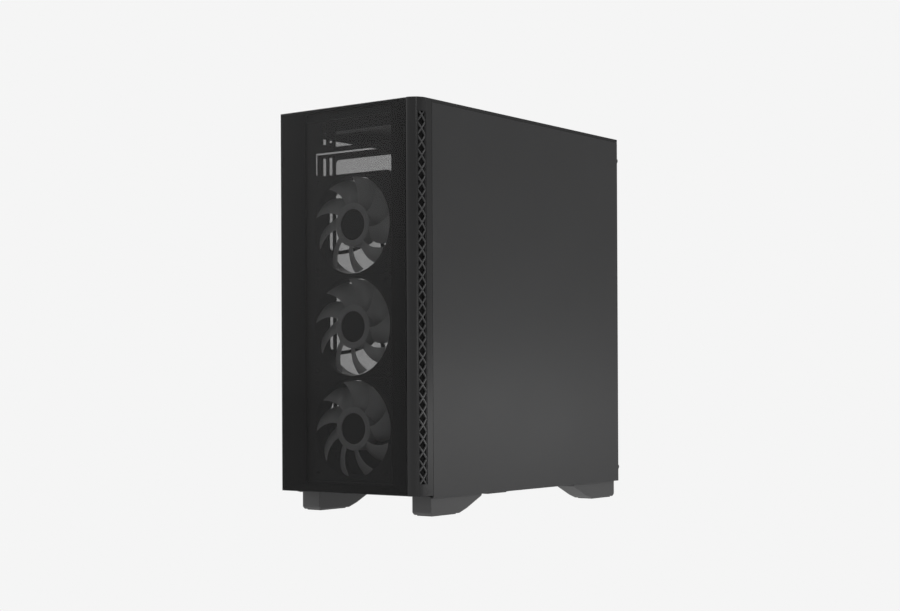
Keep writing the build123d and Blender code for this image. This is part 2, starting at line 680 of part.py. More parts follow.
def cooler_heatsink():
    """A tower cooler: contact block, four heat pipes and a stack of fins."""
    cpu_y, cpu_z = PROCESSOR
    made = [block((58, BOARD_FACE - 6), (cpu_y - 22, cpu_y + 22), (cpu_z - 22, cpu_z + 22))]
    for dy in (-13, 13):
        for dz in (-15, 15):
            made.append(rod(-80, cpu_y + dy, cpu_z + dz, (1, 0, 0), 3, 140))
    for i in range(FINS):
        x = -76 + FIN_PITCH * i
        made.append(block((x, x + 0.8), (COOLER_Y, COOLER_Y + 50), (cpu_z - 60, cpu_z + 60)))
    return join(made)


def graphics_board():
    """The card's board and its two-slot bracket."""
    board = block((-38, 61.5), CARD, (CARD_Z - 0.8, CARD_Z + 0.8))
    tab = block((61, 66.8), (281, 368), (CARD_Z - 0.8, CARD_Z + 0.8))
    z_low = SLOTS[2] - 9
    z_high = SLOTS[1] + 9
    bracket = block((-48, 72), (433.6, 434.6), (z_low, z_high))
    for z in (SLOTS[1], SLOTS[2]):
        for i in range(6):
            bracket -= block((-30 + 15 * i, -20 + 15 * i), (430, 440), (z - 3, z + 3))
    shelf = block((-48, -47), (423, 434.6), (z_low, z_high))
    for z in (SLOTS[1], SLOTS[2]):
        shelf -= rod(-50, 427, z, (1, 0, 0), 1.7, 5)
    tie = block((-38, 61.5), (CARD[1] - 1, 433.6), (CARD_Z - 0.8, CARD_Z + 0.8))
    return join([board, tab, bracket, shelf, tie])


def graphics_shroud():
    """The card's cooler housing with one fan well, open at both ends for air."""
    low, high = SLOTS[2] - 9, CARD_Z - 0.8
    body = block((-36, 58), (CARD[0] + 3, CARD[1] - 3), (low, high))
    body = fillet(body.edges().filter_by(Axis.Z), 6)
    well = rod(GPU_FAN[0], GPU_FAN[1], low - 1, (0, 0, 1), 44, 17)
    body -= well
    for i in range(6):
        x = -30 + 15 * i
        body -= block((x, x + 8), (CARD[0], CARD[1]), (low + 20, high - 4))
    body -= rod(GPU_FAN[0], GPU_FAN[1], low + 15, (0, 0, 1), SHAFT + SHAFT_FIT, 5)
    return body


def graphics_rotor():
    """The card's fan, facing down."""
    rotor = fan_rotor(42.8, 18, 13, 20, 32, 0, 19)
    return Pos(GPU_FAN[0], back(GPU_FAN[1]), SLOTS[2] - 8.6) * rotor


def slot_covers():
    """A blanking plate on every card slot that is not in use."""
    made = []
    for k, z in enumerate(SLOTS):
        if k in CARD_SLOTS:
            continue
        z_range = (z - 9, z + 9)
        shelf = block((-48, -47), (423, 434.6), z_range) - rod(-50, 427, z, (1, 0, 0), 1.7, 5)
        made.append(join([block((-48, 72), (433.6, 434.6), z_range), shelf]))
    return group(made)


def rear_screws():
    """The card screws on the ledge and the power supply's screws."""
    made = []
    for z in SLOTS:
        made.append(rod(-48, 427, z, (-1, 0, 0), 3.2, 2.4) + rod(-48, 427, z, (1, 0, 0), 1.5, 5))
    outer = REAR_PLATE + SHEET
    for x, z in PSU_SCREWS:
        made.append(rod(x, outer, z, (0, 1, 0), 3.2, 2) + rod(x, outer, z, (0, -1, 0), 1.6, 6))
    return group(made)


# Power supply

def psu_case():
    """A sheet box with a fan intake below, exhaust slots, and windows for inlet and switch."""
    x = (PSU_X - 75, PSU_X + 75)
    low = BASE_TOP + 0.2
    case = block(x, PSU, (low, PSU_TOP))
    case -= block((x[0] + 1.2, x[1] - 1.2), (PSU[0] + 1.2, PSU[1] - 1.2), (low + 1.2, PSU_TOP - 1.2))
    intake = rod(PSU_X, PSU_FAN_Y, low - 1, (0, 0, 1), 60, 4)
    bars = [
        block((PSU_X - 62, PSU_X + 62), (PSU_FAN_Y - 2, PSU_FAN_Y + 2), (low, low + 1.2)),
        block((PSU_X - 2, PSU_X + 2), (PSU_FAN_Y - 62, PSU_FAN_Y + 62), (low, low + 1.2)),
        rod(PSU_X, PSU_FAN_Y, low, (0, 0, 1), 22, 3.4),
    ]
    case = join([case - intake] + bars)
    case -= rod(PSU_X, PSU_FAN_Y, low + 0.6, (0, 0, 1), SHAFT + SHAFT_FIT, 10)
    for i in range(9):
        z = 34 + 8 * i
        case -= block((PSU_X - 64, PSU_X + 12), (PSU[1] - 3, PSU[1] + 3), (z, z + 5))
    case -= block(INLET[0], (PSU[1] - 3, PSU[1] + 3), INLET[1])
    case -= block(SWITCH[0], (PSU[1] - 3, PSU[1] + 3), SWITCH[1])
    for x_screw, z_screw in PSU_SCREWS:
        case -= rod(x_screw, PSU[1] - 6, z_screw, (0, 1, 0), 1.75, 9)
    return case


def psu_inlet():
    """The three-pin power inlet and, beside it, the switch's housing with its pivot holes."""
    (x0, x1), (z0, z1) = INLET
    gap = 0.1
    body = block((x0 + gap, x1 - gap), (PSU[1] - 18, PSU[1]), (z0 + gap, z1 - gap))
    body -= block((x0 + 2, x1 - 2), (PSU[1] - 16, PSU[1] + 1), (z0 + 3, z1 - 3))
    middle_x, middle_z = (x0 + x1) / 2, (z0 + z1) / 2
    for dx, dz in ((-7, -2), (7, -2), (0, 2)):
        body += block((middle_x + dx - 1, middle_x + dx + 1), (PSU[1] - 17, PSU[1] - 3),
                      (middle_z + dz - 2, middle_z + dz + 2))
    (s0, s1), (t0, t1) = SWITCH
    housing = block((s0 + gap, s1 - gap), (PSU[1] - 14, PSU[1]), (t0 + gap, t1 - gap))
    housing -= block((s0 + 1.6, s1 - 1.6), (PSU[1] - 12, PSU[1] + 1), (t0 + 1.2, t1 - 1.2))
    pivot = rod(s0 - 1, PSU[1] - SWITCH_PIVOT, (t0 + t1) / 2, (1, 0, 0), 1.0 + SHAFT_FIT, s1 - s0 + 2)
    return group([body, housing - pivot])


def psu_switch():
    """A rocker on a pin across its middle, tipped to its off side."""
    (x0, x1), (z0, z1) = SWITCH
    middle_z = (z0 + z1) / 2
    y_pivot = PSU[1] - SWITCH_PIVOT
    width = x1 - x0 - 4
    drum = rod(x0 + 2, y_pivot, middle_z, (1, 0, 0), SWITCH_R, width)
    for way in (-1, 1):
        cut = Pos((x0 + x1) / 2, back(y_pivot), middle_z) * Rot(way * 8 + 7, 0, 0)
        drum -= cut * Pos(0, 4.6 + 5, way * 6) * Box(30, 10, 12)
    drum -= block((x0, x1), (y_pivot - 12, y_pivot - 3), (z0 - 4, z1 + 4))
    pin = rod(x0 + 0.4, y_pivot, middle_z, (1, 0, 0), 1.0, x1 - x0 - 0.8)
    return drum + pin


def psu_rotor():
    """The power supply's fan, facing down."""
    rotor = Rot(180, 0, 0) * fan_rotor(55, 20, 16, 24, 34, 10, 20)
    return Pos(PSU_X, back(PSU_FAN_Y), BASE_TOP + 0.2 + 20.8) * rotor


parts = {
    "base_plate": base_plate(),
    "front_plate": front_plate(),
    "rear_plate": rear_plate(),
    "top_plate": top_plate(),
    "board_tray": board_tray(),
    "psu_shroud": psu_shroud(),
    "drive_cage": drive_cage(),
    "hard_drive": hard_drive(),
    "solid_state_drive": solid_state_drive(),
    "feet": feet(),
    "foot_pads": foot_pads(),
    "bezel_frame": bezel_frame(),
    "bezel_studs": bezel_studs(),
    "front_glass": front_glass(),
    "grille_right": grille_right(),
    "grille_left": grille_left(),
    "vent_filters": vent_filters(),
    "side_panel": side_panel(),
    "panel_thumbscrews": thumbscrews(THUMB_X[1]),
    "side_glass": side_glass(),
    "glass_frame": glass_frame(),
    "glass_thumbscrews": thumbscrews(THUMB_X[0]),
    "top_cover": top_cover(),
    "port_block": port_block(),
    "power_button": button(POWER_X, 8.0),
    "reset_button": button(RESET_X, 3.0),
    "top_filter_frame": filter_frame(*TOP_FILTER, 8, 2),
    "top_filter_mesh": filter_mesh(*TOP_FILTER, 8, 2),
    "psu_filter_frame": psu_filter_frame(),
    "psu_filter_mesh": filter_mesh(*PSU_FILTER, 8, 1),
    "mainboard": mainboard(),
    "board_standoffs": board_standoffs(),
    "board_screws": board_screws(),
    "board_parts": board_parts(),
    "io_shield": io_shield(),
    "memory_modules": memory_modules(),
    "cooler_heatsink": cooler_heatsink(),
    "cooler_fan_frame": fan_plane(COOLER_X, COOLER_Y - FAN_DEPTH, PROCESSOR[1]) * fan_body(),
    "cooler_fan_rotor": fan_plane(COOLER_X, COOLER_Y - FAN_DEPTH, PROCESSOR[1]) * case_rotor(12),
    "graphics_board": graphics_board(),
    "graphics_shroud": graphics_shroud(),
    "graphics_rotor": graphics_rotor(),
    "slot_covers": slot_covers(),
    "rear_screws": rear_screws(),
    "psu_case": psu_case(),
    "psu_inlet": psu_inlet(),
    "psu_switch": psu_switch(),
    "psu_rotor": psu_rotor(),
}
for level, height in TRAY_HEIGHTS.items():
    parts["drive_tray_" + level] = drive_tray(height)
front_screws = []
for level, height in FAN_HEIGHTS.items():
    plane = fan_plane(0, FRONT_PLATE - FAN_DEPTH, height)
    parts["fan_frame_" + level] = plane * fan_body()
    parts["fan_rotor_" + level] = plane * case_rotor(FAN_PHASES[level])
    front_screws += fan_screws(0, FRONT_PLATE + SHEET, height, -1)
parts["front_fan_screws"] = group(front_screws)
rear_plane = fan_plane(REAR_FAN[0], REAR_PLATE - FAN_DEPTH, REAR_FAN[1])
parts["rear_fan_frame"] = rear_plane * fan_body()
parts["rear_fan_rotor"] = rear_plane * case_rotor(31)
parts["rear_fan_screws"] = group(fan_screws(REAR_FAN[0], REAR_PLATE + SHEET, REAR_FAN[1], -1))

for name, shape in parts.items():
    export_step(shape, os.path.join("parts", name + ".step"))
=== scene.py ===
"""The looks of the desktop computer tower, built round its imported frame. Metres, +Z up.
The front faces -Y, the plain steel side is at +X and the glass side is at -X."""
import json
from math import cos, degrees, hypot, pi, radians, sin

import bmesh
import bpy
from mathutils import Matrix, Vector


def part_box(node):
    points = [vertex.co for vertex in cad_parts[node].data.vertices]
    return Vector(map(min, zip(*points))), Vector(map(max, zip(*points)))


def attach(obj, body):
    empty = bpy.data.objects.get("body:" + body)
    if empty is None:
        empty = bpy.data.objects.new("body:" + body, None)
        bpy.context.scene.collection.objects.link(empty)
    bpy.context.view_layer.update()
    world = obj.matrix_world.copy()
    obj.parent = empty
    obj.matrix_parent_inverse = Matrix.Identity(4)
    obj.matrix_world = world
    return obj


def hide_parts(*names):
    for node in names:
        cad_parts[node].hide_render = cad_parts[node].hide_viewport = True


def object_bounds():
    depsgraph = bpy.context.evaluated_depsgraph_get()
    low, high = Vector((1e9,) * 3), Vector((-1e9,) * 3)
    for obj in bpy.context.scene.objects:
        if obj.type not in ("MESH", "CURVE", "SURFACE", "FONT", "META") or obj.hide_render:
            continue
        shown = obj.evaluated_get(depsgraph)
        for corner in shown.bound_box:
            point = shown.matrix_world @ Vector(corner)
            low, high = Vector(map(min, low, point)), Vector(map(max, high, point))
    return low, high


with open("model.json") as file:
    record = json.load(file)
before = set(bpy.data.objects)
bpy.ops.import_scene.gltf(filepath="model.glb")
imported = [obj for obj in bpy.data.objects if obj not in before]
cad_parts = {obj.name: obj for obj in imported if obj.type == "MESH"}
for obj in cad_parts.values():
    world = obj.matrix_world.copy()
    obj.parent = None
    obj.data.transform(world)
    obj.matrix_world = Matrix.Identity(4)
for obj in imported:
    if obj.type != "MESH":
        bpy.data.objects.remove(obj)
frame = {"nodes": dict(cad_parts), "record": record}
cad_low, cad_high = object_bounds()
MM = 0.001


# Places taken from the frame

FRONT = cad_low[1]
GLASS_LOW, GLASS_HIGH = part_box("front_glass")
BEZEL_LOW, BEZEL_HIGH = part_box("bezel_frame")
CORNER = 16.5 * MM                      # plan radius of the bezel's right corner


# Camera, light and floor

def add_camera():
    """A level camera to the right of the front, at the height of the lower fan."""
    yaw, roll = radians(36.82), radians(-0.264)
    ahead = Vector((-sin(yaw), cos(yaw), 0))
    level_right = Vector((cos(yaw), sin(yaw), 0))
    up = Vector((0, 0, 1))
    right = level_right * cos(roll) + up * sin(roll)
    top = up * cos(roll) - level_right * sin(roll)
    data = bpy.data.cameras.new("camera")
    data.lens = 65.6
    data.sensor_width = 36
    data.shift_y = 0.0859
    data.clip_start, data.clip_end = 0.05, 60
    camera = bpy.data.objects.new("camera", data)
    place = Vector((1.24705, -1.68736, 0.15429))
    camera.matrix_world = Matrix((
        (right.x, top.x, -ahead.x, place.x),
        (right.y, top.y, -ahead.y, place.y),
        (right.z, top.z, -ahead.z, place.z),
        (0, 0, 0, 1),
    ))
    bpy.context.scene.collection.objects.link(camera)
    bpy.context.scene.camera = camera


PALE = 0.9131                           # linear value of the pale backdrop


def add_world():
    """A pale backdrop that lights the object more weakly than it shows, brightest at the left."""
    world = bpy.data.worlds.new("studio")
    bpy.context.scene.world = world
    world.use_nodes = True
    tree = world.node_tree
    tree.nodes.clear()
    nodes, links = tree.nodes, tree.links
    out = nodes.new("ShaderNodeOutputWorld")
    pick = nodes.new("ShaderNodeMixShader")
    path = nodes.new("ShaderNodeLightPath")
    seen = nodes.new("ShaderNodeBackground")
    seen.inputs["Color"].default_value = (PALE, PALE, PALE, 1)
    lit = nodes.new("ShaderNodeBackground")
    coord = nodes.new("ShaderNodeTexCoord")
    split = nodes.new("ShaderNodeSeparateXYZ")
    height = nodes.new("ShaderNodeMapRange")
    height.inputs["From Min"].default_value = -0.02
    height.inputs["From Max"].default_value = 0.30
    height.inputs["To Min"].default_value = 0.65
    height.inputs["To Max"].default_value = 1.35
    side = nodes.new("ShaderNodeMapRange")
    side.inputs["From Min"].default_value = -0.75
    side.inputs["From Max"].default_value = -0.385
    side.inputs["To Min"].default_value = 1.37
    side.inputs["To Max"].default_value = 0.27
    product = nodes.new("ShaderNodeMath")
    product.operation = "MULTIPLY"
    links.new(coord.outputs["Generated"], split.inputs[0])
    links.new(split.outputs["Z"], height.inputs["Value"])
    links.new(split.outputs["X"], side.inputs["Value"])
    links.new(height.outputs[0], product.inputs[0])
    links.new(side.outputs[0], product.inputs[1])
    links.new(product.outputs[0], lit.inputs["Strength"])
    links.new(path.outputs["Is Camera Ray"], pick.inputs[0])
    links.new(lit.outputs[0], pick.inputs[1])
    links.new(seen.outputs[0], pick.inputs[2])
    links.new(pick.outputs[0], out.inputs["Surface"])


def add_softbox(name, place, target, size, power, height=None):
    """An area light that faces its target: square, or a strip of its own height."""
    data = bpy.data.lights.new(name, "AREA")
    data.shape = "RECTANGLE"
    data.size, data.size_y = size, height or size
    data.energy = power
    light = bpy.data.objects.new(name, data)
    light.location = place
    light.visible_camera = False
    light.rotation_euler = (Vector(target) - Vector(place)).to_track_quat("-Z", "Y").to_euler()
    bpy.context.scene.collection.objects.link(light)
    return light


def add_floor():
    """A plain pale floor, even as seen, that throws a softer light up at the object."""
    mesh = bpy.data.meshes.new("floor")
    bm = bmesh.new()
    bmesh.ops.create_grid(bm, x_segments=8, y_segments=8, size=20)
    bm.to_mesh(mesh)
    bm.free()
    floor = bpy.data.objects.new("floor", mesh)
    bpy.context.scene.collection.objects.link(floor)
    material = bpy.data.materials.new("pale_floor")
    material.use_nodes = True
    nodes, links = material.node_tree.nodes, material.node_tree.links
    nodes.clear()
    out = nodes.new("ShaderNodeOutputMaterial")
    pick = nodes.new("ShaderNodeMixShader")
    path = nodes.new("ShaderNodeLightPath")
    seen = nodes.new("ShaderNodeEmission")
    seen.inputs["Color"].default_value = (PALE, PALE, PALE, 1)
    lift = nodes.new("ShaderNodeEmission")
    strength = nodes.new("ShaderNodeMapRange")
    strength.inputs["To Min"].default_value = 0.70
    strength.inputs["To Max"].default_value = 0.55
    links.new(path.outputs["Is Glossy Ray"], strength.inputs["Value"])
    links.new(strength.outputs[0], lift.inputs["Strength"])
    links.new(path.outputs["Is Camera Ray"], pick.inputs[0])
    links.new(lift.outputs[0], pick.inputs[1])
    links.new(seen.outputs[0], pick.inputs[2])
    links.new(pick.outputs[0], out.inputs["Surface"])
    mesh.materials.append(material)


add_camera()
add_world()
add_floor()
add_softbox("side_box", (2.6, 1.4, 1.2), (0.1, 0.1, 0.25), 2.2, 3)
add_softbox("low_box", (0.42, 0.16, 0.1), (0.1, 0.16, 0.1), 0.8, 0.42, 0.1)
add_softbox("top_box", (0.2, -0.3, 2.6), (0, 0, 0.3), 1.6, 30)
add_softbox("rear_box", (-1.6, 2.2, 1.6), (0, 0, 0.25), 1.8, 30)
bpy.context.scene.view_settings.view_transform = "Standard"


# Shared shader groups

def new_group(name, inputs, outputs):
    """An empty shader group with named sockets; returns the tree and its two end nodes."""
    tree = bpy.data.node_groups.new(name, "ShaderNodeTree")
    for label, kind, value in inputs:
        socket = tree.interface.new_socket(label, in_out="INPUT", socket_type=kind)
        if value is not None:
            socket.default_value = value
    for label, kind in outputs:
        tree.interface.new_socket(label, in_out="OUTPUT", socket_type=kind)
    return tree, tree.nodes.new("NodeGroupInput"), tree.nodes.new("NodeGroupOutput")


def fine_grain_group():
    """A fine moulded or sprayed grain: a height for bump and a slow change of tone."""
    tree, start, end = new_group(
        "fine_grain",
        [("Vector", "NodeSocketVector", None), ("Grain", "NodeSocketFloat", 1400.0),
         ("Drift", "NodeSocketFloat", 9.0)],
        [("Height", "NodeSocketFloat"), ("Tone", "NodeSocketFloat")])
    grain = tree.nodes.new("ShaderNodeTexNoise")
    grain.inputs["Detail"].default_value = 3
    drift = tree.nodes.new("ShaderNodeTexNoise")
    drift.inputs["Detail"].default_value = 4
    link = tree.links.new
    link(start.outputs["Vector"], grain.inputs["Vector"])
    link(start.outputs["Grain"], grain.inputs["Scale"])
    link(start.outputs["Vector"], drift.inputs["Vector"])
    link(start.outputs["Drift"], drift.inputs["Scale"])
    link(grain.outputs["Fac"], end.inputs["Height"])
    link(drift.outputs["Fac"], end.inputs["Tone"])
    return tree


def edge_highlight_and_wear_group():
    """A mask that is 1 on the object's hard edges, broken up by noise; the lighter colour laid with it
    is partly wear and partly a painted edge highlight.
    """
    tree, start, end = new_group(
        "worn_edge",
        [("Vector", "NodeSocketVector", None), ("Width", "NodeSocketFloat", 0.0006)],
        [("Mask", "NodeSocketFloat")])
    nodes, link = tree.nodes, tree.links.new
    rounded = nodes.new("ShaderNodeBevel")
    rounded.samples = 4
    geometry = nodes.new("ShaderNodeNewGeometry")
    dot = nodes.new("ShaderNodeVectorMath")
    dot.operation = "DOT_PRODUCT"
    level = nodes.new("ShaderNodeMapRange")
    level.inputs["From Min"].default_value = 0.99
    level.inputs["From Max"].default_value = 0.80
    noise = nodes.new("ShaderNodeTexNoise")
    noise.inputs["Scale"].default_value = 260
    breakup = nodes.new("ShaderNodeMapRange")
    breakup.inputs["From Min"].default_value = 0.35
    breakup.inputs["From Max"].default_value = 0.7
    product = nodes.new("ShaderNodeMath")
    product.operation = "MULTIPLY"
    link(start.outputs["Width"], rounded.inputs["Radius"])
    link(rounded.outputs["Normal"], dot.inputs[0])
    link(geometry.outputs["Normal"], dot.inputs[1])
    link(dot.outputs["Value"], level.inputs["Value"])
    link(start.outputs["Vector"], noise.inputs["Vector"])
    link(noise.outputs["Fac"], breakup.inputs["Value"])
    link(level.outputs[0], product.inputs[0])
    link(breakup.outputs[0], product.inputs[1])
    link(product.outputs[0], end.inputs["Mask"])
    return tree


def settled_dust_group():
    """A mask of thin dust on faces that look up."""
    tree, start, end = new_group(
        "settled_dust",
        [("Vector", "NodeSocketVector", None), ("Amount", "NodeSocketFloat", 0.2)],
        [("Mask", "NodeSocketFloat")])
    nodes, link = tree.nodes, tree.links.new
    geometry = nodes.new("ShaderNodeNewGeometry")
    split = nodes.new("ShaderNodeSeparateXYZ")
    upward = nodes.new("ShaderNodeMapRange")
    upward.inputs["From Min"].default_value = 0.6
    upward.inputs["From Max"].default_value = 1.0
    noise = nodes.new("ShaderNodeTexNoise")
    noise.inputs["Scale"].default_value = 70
    noise.inputs["Detail"].default_value = 5
    product = nodes.new("ShaderNodeMath")
    product.operation = "MULTIPLY"
    scaled = nodes.new("ShaderNodeMath")
    scaled.operation = "MULTIPLY"
    link(geometry.outputs["Normal"], split.inputs[0])
    link(split.outputs["Z"], upward.inputs["Value"])
    link(start.outputs["Vector"], noise.inputs["Vector"])
    link(upward.outputs[0], product.inputs[0])
    link(noise.outputs["Fac"], product.inputs[1])
    link(product.outputs[0], scaled.inputs[0])
    link(start.outputs["Amount"], scaled.inputs[1])
    link(scaled.outputs[0], end.inputs["Mask"])
    return tree


FINE_GRAIN = fine_grain_group()
EDGE_HIGHLIGHT_AND_WEAR = edge_highlight_and_wear_group()
SETTLED_DUST = settled_dust_group()


# Materials

def place_group(material, tree, **values):
    """A shader group in a material, with its own values; it reads Object coordinates."""
    nodes, links = material.node_tree.nodes, material.node_tree.links
    coord = nodes.get("place") or nodes.new("ShaderNodeTexCoord")
    coord.name = "place"
    group = nodes.new("ShaderNodeGroup")
    group.node_tree = tree
    for label, value in values.items():
        group.inputs[label].default_value = value
    links.new(coord.outputs["Object"], group.inputs["Vector"])
    return group


def finish(name, colour, rough, metal=0.0, grain=1400.0, bump=0.15, depth=0.00004, spread=0.12,
           rough_spread=0.08, edge=0.0, edge_width=0.0006, dust=0.0, coat=0.0, specular=0.5):
    """A solid finish: its own colour and roughness, varied by grain, lighter edges that are partly wear
    and partly painted highlight, and dust.
    """
    material = bpy.data.materials.new(name)
    material.use_nodes = True
    nodes, links = material.node_tree.nodes, material.node_tree.links
    shader = nodes["Principled BSDF"]
    shader.inputs["Metallic"].default_value = metal
    shader.inputs["Coat Weight"].default_value = coat
    shader.inputs["Specular IOR Level"].default_value = specular
    skin = place_group(material, FINE_GRAIN, Grain=grain)
    tone = nodes.new("ShaderNodeMix")
    tone.data_type = "RGBA"
    tone.inputs["A"].default_value = (*[c * (1 - spread) for c in colour], 1)
    tone.inputs["B"].default_value = (*[c * (1 + spread) for c in colour], 1)
    links.new(skin.outputs["Tone"], tone.inputs["Factor"])
    last = tone.outputs["Result"]
    layers = []
    # Lighter hard edges: partly wear, partly a painted highlight for the light that rounded edges
    # catch.
    if edge:
        layers.append((EDGE_HIGHLIGHT_AND_WEAR, {"Width": edge_width}, [min(1, c * 2.2 + 0.06) for c in colour],
                       edge))
    if dust:
        layers.append((SETTLED_DUST, {"Amount": dust}, (0.35, 0.34, 0.32), 1.0))
    for tree, values, over, strength in layers:
        mask = place_group(material, tree, **values)
        scale = nodes.new("ShaderNodeMath")
        scale.operation = "MULTIPLY"
        scale.inputs[1].default_value = strength
        links.new(mask.outputs["Mask"], scale.inputs[0])
        layer = nodes.new("ShaderNodeMix")
        layer.data_type = "RGBA"
        layer.inputs["B"].default_value = (*over, 1)
        links.new(scale.outputs[0], layer.inputs["Factor"])
        links.new(last, layer.inputs["A"])
        last = layer.outputs["Result"]
    links.new(last, shader.inputs["Base Color"])
    gloss = nodes.new("ShaderNodeMapRange")
    gloss.inputs["To Min"].default_value = max(0.02, rough - rough_spread)
    gloss.inputs["To Max"].default_value = min(1.0, rough + rough_spread)
    links.new(skin.outputs["Tone"], gloss.inputs["Value"])
    links.new(gloss.outputs[0], shader.inputs["Roughness"])
    relief = nodes.new("ShaderNodeBump")
    relief.inputs["Strength"].default_value = bump
    relief.inputs["Distance"].default_value = depth
    links.new(skin.outputs["Height"], relief.inputs["Height"])
    links.new(relief.outputs["Normal"], shader.inputs["Normal"])
    return material


def film(name, colour, cover, rough):
    """Tinted glass: a smooth gloss over a film that lets light straight through."""
    material = bpy.data.materials.new(name)
    material.use_nodes = True
    nodes, links = material.node_tree.nodes, material.node_tree.links
    shader = nodes["Principled BSDF"]
    shader.inputs["Base Color"].default_value = (*colour, 1)
    shader.inputs["IOR"].default_value = 1.52
    skin = place_group(material, FINE_GRAIN, Grain=40.0, Drift=5.0)
    gloss = nodes.new("ShaderNodeMapRange")
    gloss.inputs["To Min"].default_value = rough * 0.6
    gloss.inputs["To Max"].default_value = rough * 1.4
    links.new(skin.outputs["Tone"], gloss.inputs["Value"])
    links.new(gloss.outputs[0], shader.inputs["Roughness"])
    tint = nodes.new("ShaderNodeMapRange")
    tint.inputs["To Min"].default_value = cover - 0.01
    tint.inputs["To Max"].default_value = cover + 0.01
    links.new(skin.outputs["Tone"], tint.inputs["Value"])
    links.new(tint.outputs[0], shader.inputs["Alpha"])
    return material


POWDER_STEEL = finish("powder_coated_steel", (0.042, 0.042, 0.043), 0.5, grain=1800, bump=0.35,
                      edge=0.25, dust=0.05)
CHASSIS_STEEL = finish("black_chassis_steel", (0.012, 0.012, 0.0125), 0.5, grain=1500, bump=0.2,
                       edge=0.2,
                       specular=0.3)
BEZEL_BLACK = finish("bezel_black_plastic", (0.022, 0.022, 0.0225), 0.42, grain=2200, bump=0.3,
                     edge=0.15)
# Black plastic lightened well past the bezel's black: a painted highlight for the light the bars catch
# from the right and front.
LATTICE_PAINTED_LIGHT = finish("lattice_black_plastic", (0.085, 0.085, 0.086), 0.3, grain=2200, bump=0.15)
COVER_BLACK = finish("cover_black_plastic", (0.02, 0.02, 0.0205), 0.48, grain=2200, bump=0.3,
                     edge=0.15, dust=0.1)
FAN_BLACK = finish("fan_frame_plastic", (0.007, 0.007, 0.0075), 0.55, grain=2400, bump=0.2,
                   specular=0.2)
HUB_BLACK = finish("fan_hub_plastic", (0.006, 0.006, 0.006), 0.6, grain=2400, bump=0.1, specular=0.2)
FOOT_BLACK = finish("foot_plastic", (0.085, 0.085, 0.086), 0.5, grain=1600, bump=0.3, edge=0.2)
RUBBER = finish("pad_rubber", (0.02, 0.02, 0.02), 0.8, grain=900, bump=0.4)
SCREW_BLACK = finish("black_zinc_screw", (0.09, 0.09, 0.092), 0.35, metal=0.9, grain=3000, bump=0.1,
                     edge=0.4)
SCREW_BRIGHT = finish("bright_zinc", (0.6, 0.6, 0.61), 0.3, metal=1.0, grain=2600, bump=0.1)
BRASS = finish("turned_brass", (0.72, 0.52, 0.22), 0.3, metal=1.0, grain=2600, bump=0.1)
BOARD_MASK = finish("circuit_board_mask", (0.012, 0.015, 0.014), 0.35, grain=700, bump=0.1)
HEAT_SPREADER = finish("anodised_heat_spreader", (0.05, 0.05, 0.052), 0.35, metal=0.8, grain=1500,
                       bump=0.1, edge=0.3)
CONNECTOR = finish("connector_plastic", (0.02, 0.02, 0.021), 0.5, grain=2200, bump=0.15)
FINS = finish("fin_aluminium", (0.62, 0.63, 0.64), 0.35, metal=1.0, grain=1200, bump=0.1)
DRIVE_METAL = finish("drive_metal", (0.35, 0.36, 0.37), 0.45, metal=0.9, grain=1500, bump=0.2)
DUST_MESH = finish("vent_dust_mesh", (0.004, 0.004, 0.004), 0.7, grain=2000, bump=0.2)
MESH_BLACK = finish("filter_mesh", (0.015, 0.015, 0.015), 0.6, grain=2000, bump=0.2)
PAINT_BORDER = finish("black_glass_border", (0.005, 0.005, 0.005), 0.6, grain=2000, bump=0.01,
                      specular=0.1)
FRONT_TINT = film("front_glass_tint", (0.004, 0.004, 0.004), 0.44, 0.02)
SIDE_TINT = film("side_glass_tint", (0.01, 0.01, 0.01), 0.17, 0.02)


def blade_finish():
    """Frosted smoky plastic that lets some light through."""
    material = finish("frosted_blade_plastic", (0.52, 0.52, 0.525), 0.4, grain=1200, bump=0.1)
    material.node_tree.nodes["Principled BSDF"].inputs["Alpha"].default_value = 0.8
    return material


BLADE_SMOKE = blade_finish()


# Mesh helpers

def add_piece(name, mesh, body, *stands_for):
    """Links a finished mesh as a piece that rides on a body and stands for CAD nodes."""
    piece = bpy.data.objects.new(name, mesh)
    bpy.context.scene.collection.objects.link(piece)
    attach(piece, body)
    if stands_for:
        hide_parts(*stands_for)
    return piece


def body_of(node):
    """The body that a CAD node rides on."""
    for body, members in frame["record"]["behaviour"]["bodies"].items():
        if node in members:
            return body


def soften(mesh, angle=35):
    """Smooth shading up to edges sharper than angle."""
    mesh.polygons.foreach_set("use_smooth", [True] * len(mesh.polygons))
    mesh.set_sharp_from_angle(angle=radians(angle))
    return mesh


def as_mesh(bm, name, angle=35):
    """A bmesh turned into a mesh, with smooth faces up to a hard edge."""
    mesh = bpy.data.meshes.new(name)
    bm.to_mesh(mesh)
    bm.free()
    return soften(mesh, angle)


def settle(source, modify=None):
    """The plain mesh that a mesh or curve becomes under the modifiers that modify adds."""
    holder = bpy.data.objects.new("holder", source)
    bpy.context.scene.collection.objects.link(holder)
    if modify:
        modify(holder)
    graph = bpy.context.evaluated_depsgraph_get()
    result = bpy.data.meshes.new_from_object(holder.evaluated_get(graph))
    result.name = source.name
    bpy.data.objects.remove(holder)
    return result


def round_edges(mesh, width, segments=2, angle=40, by_weight=False):
    """Rounds every edge sharper than angle, or every weighted edge, keeping flat faces flat."""
    def modify(holder):
        bevel = holder.modifiers.new("round", "BEVEL")
        bevel.width = width
        bevel.segments = segments
        bevel.limit_method = "WEIGHT" if by_weight else "ANGLE"
        bevel.angle_limit = radians(angle)
        bevel.harden_normals = True
        bevel.use_clamp_overlap = True
    return settle(mesh, modify)


def painted(mesh, *materials):
    """The mesh with these materials in its slots, each face keeping its slot's number."""
    numbers = [0] * len(mesh.polygons)
    mesh.polygons.foreach_get("material_index", numbers)
    mesh.materials.clear()
    for material in materials:
        mesh.materials.append(material)
    mesh.polygons.foreach_set("material_index", [min(n, len(materials) - 1) for n in numbers])
    return mesh


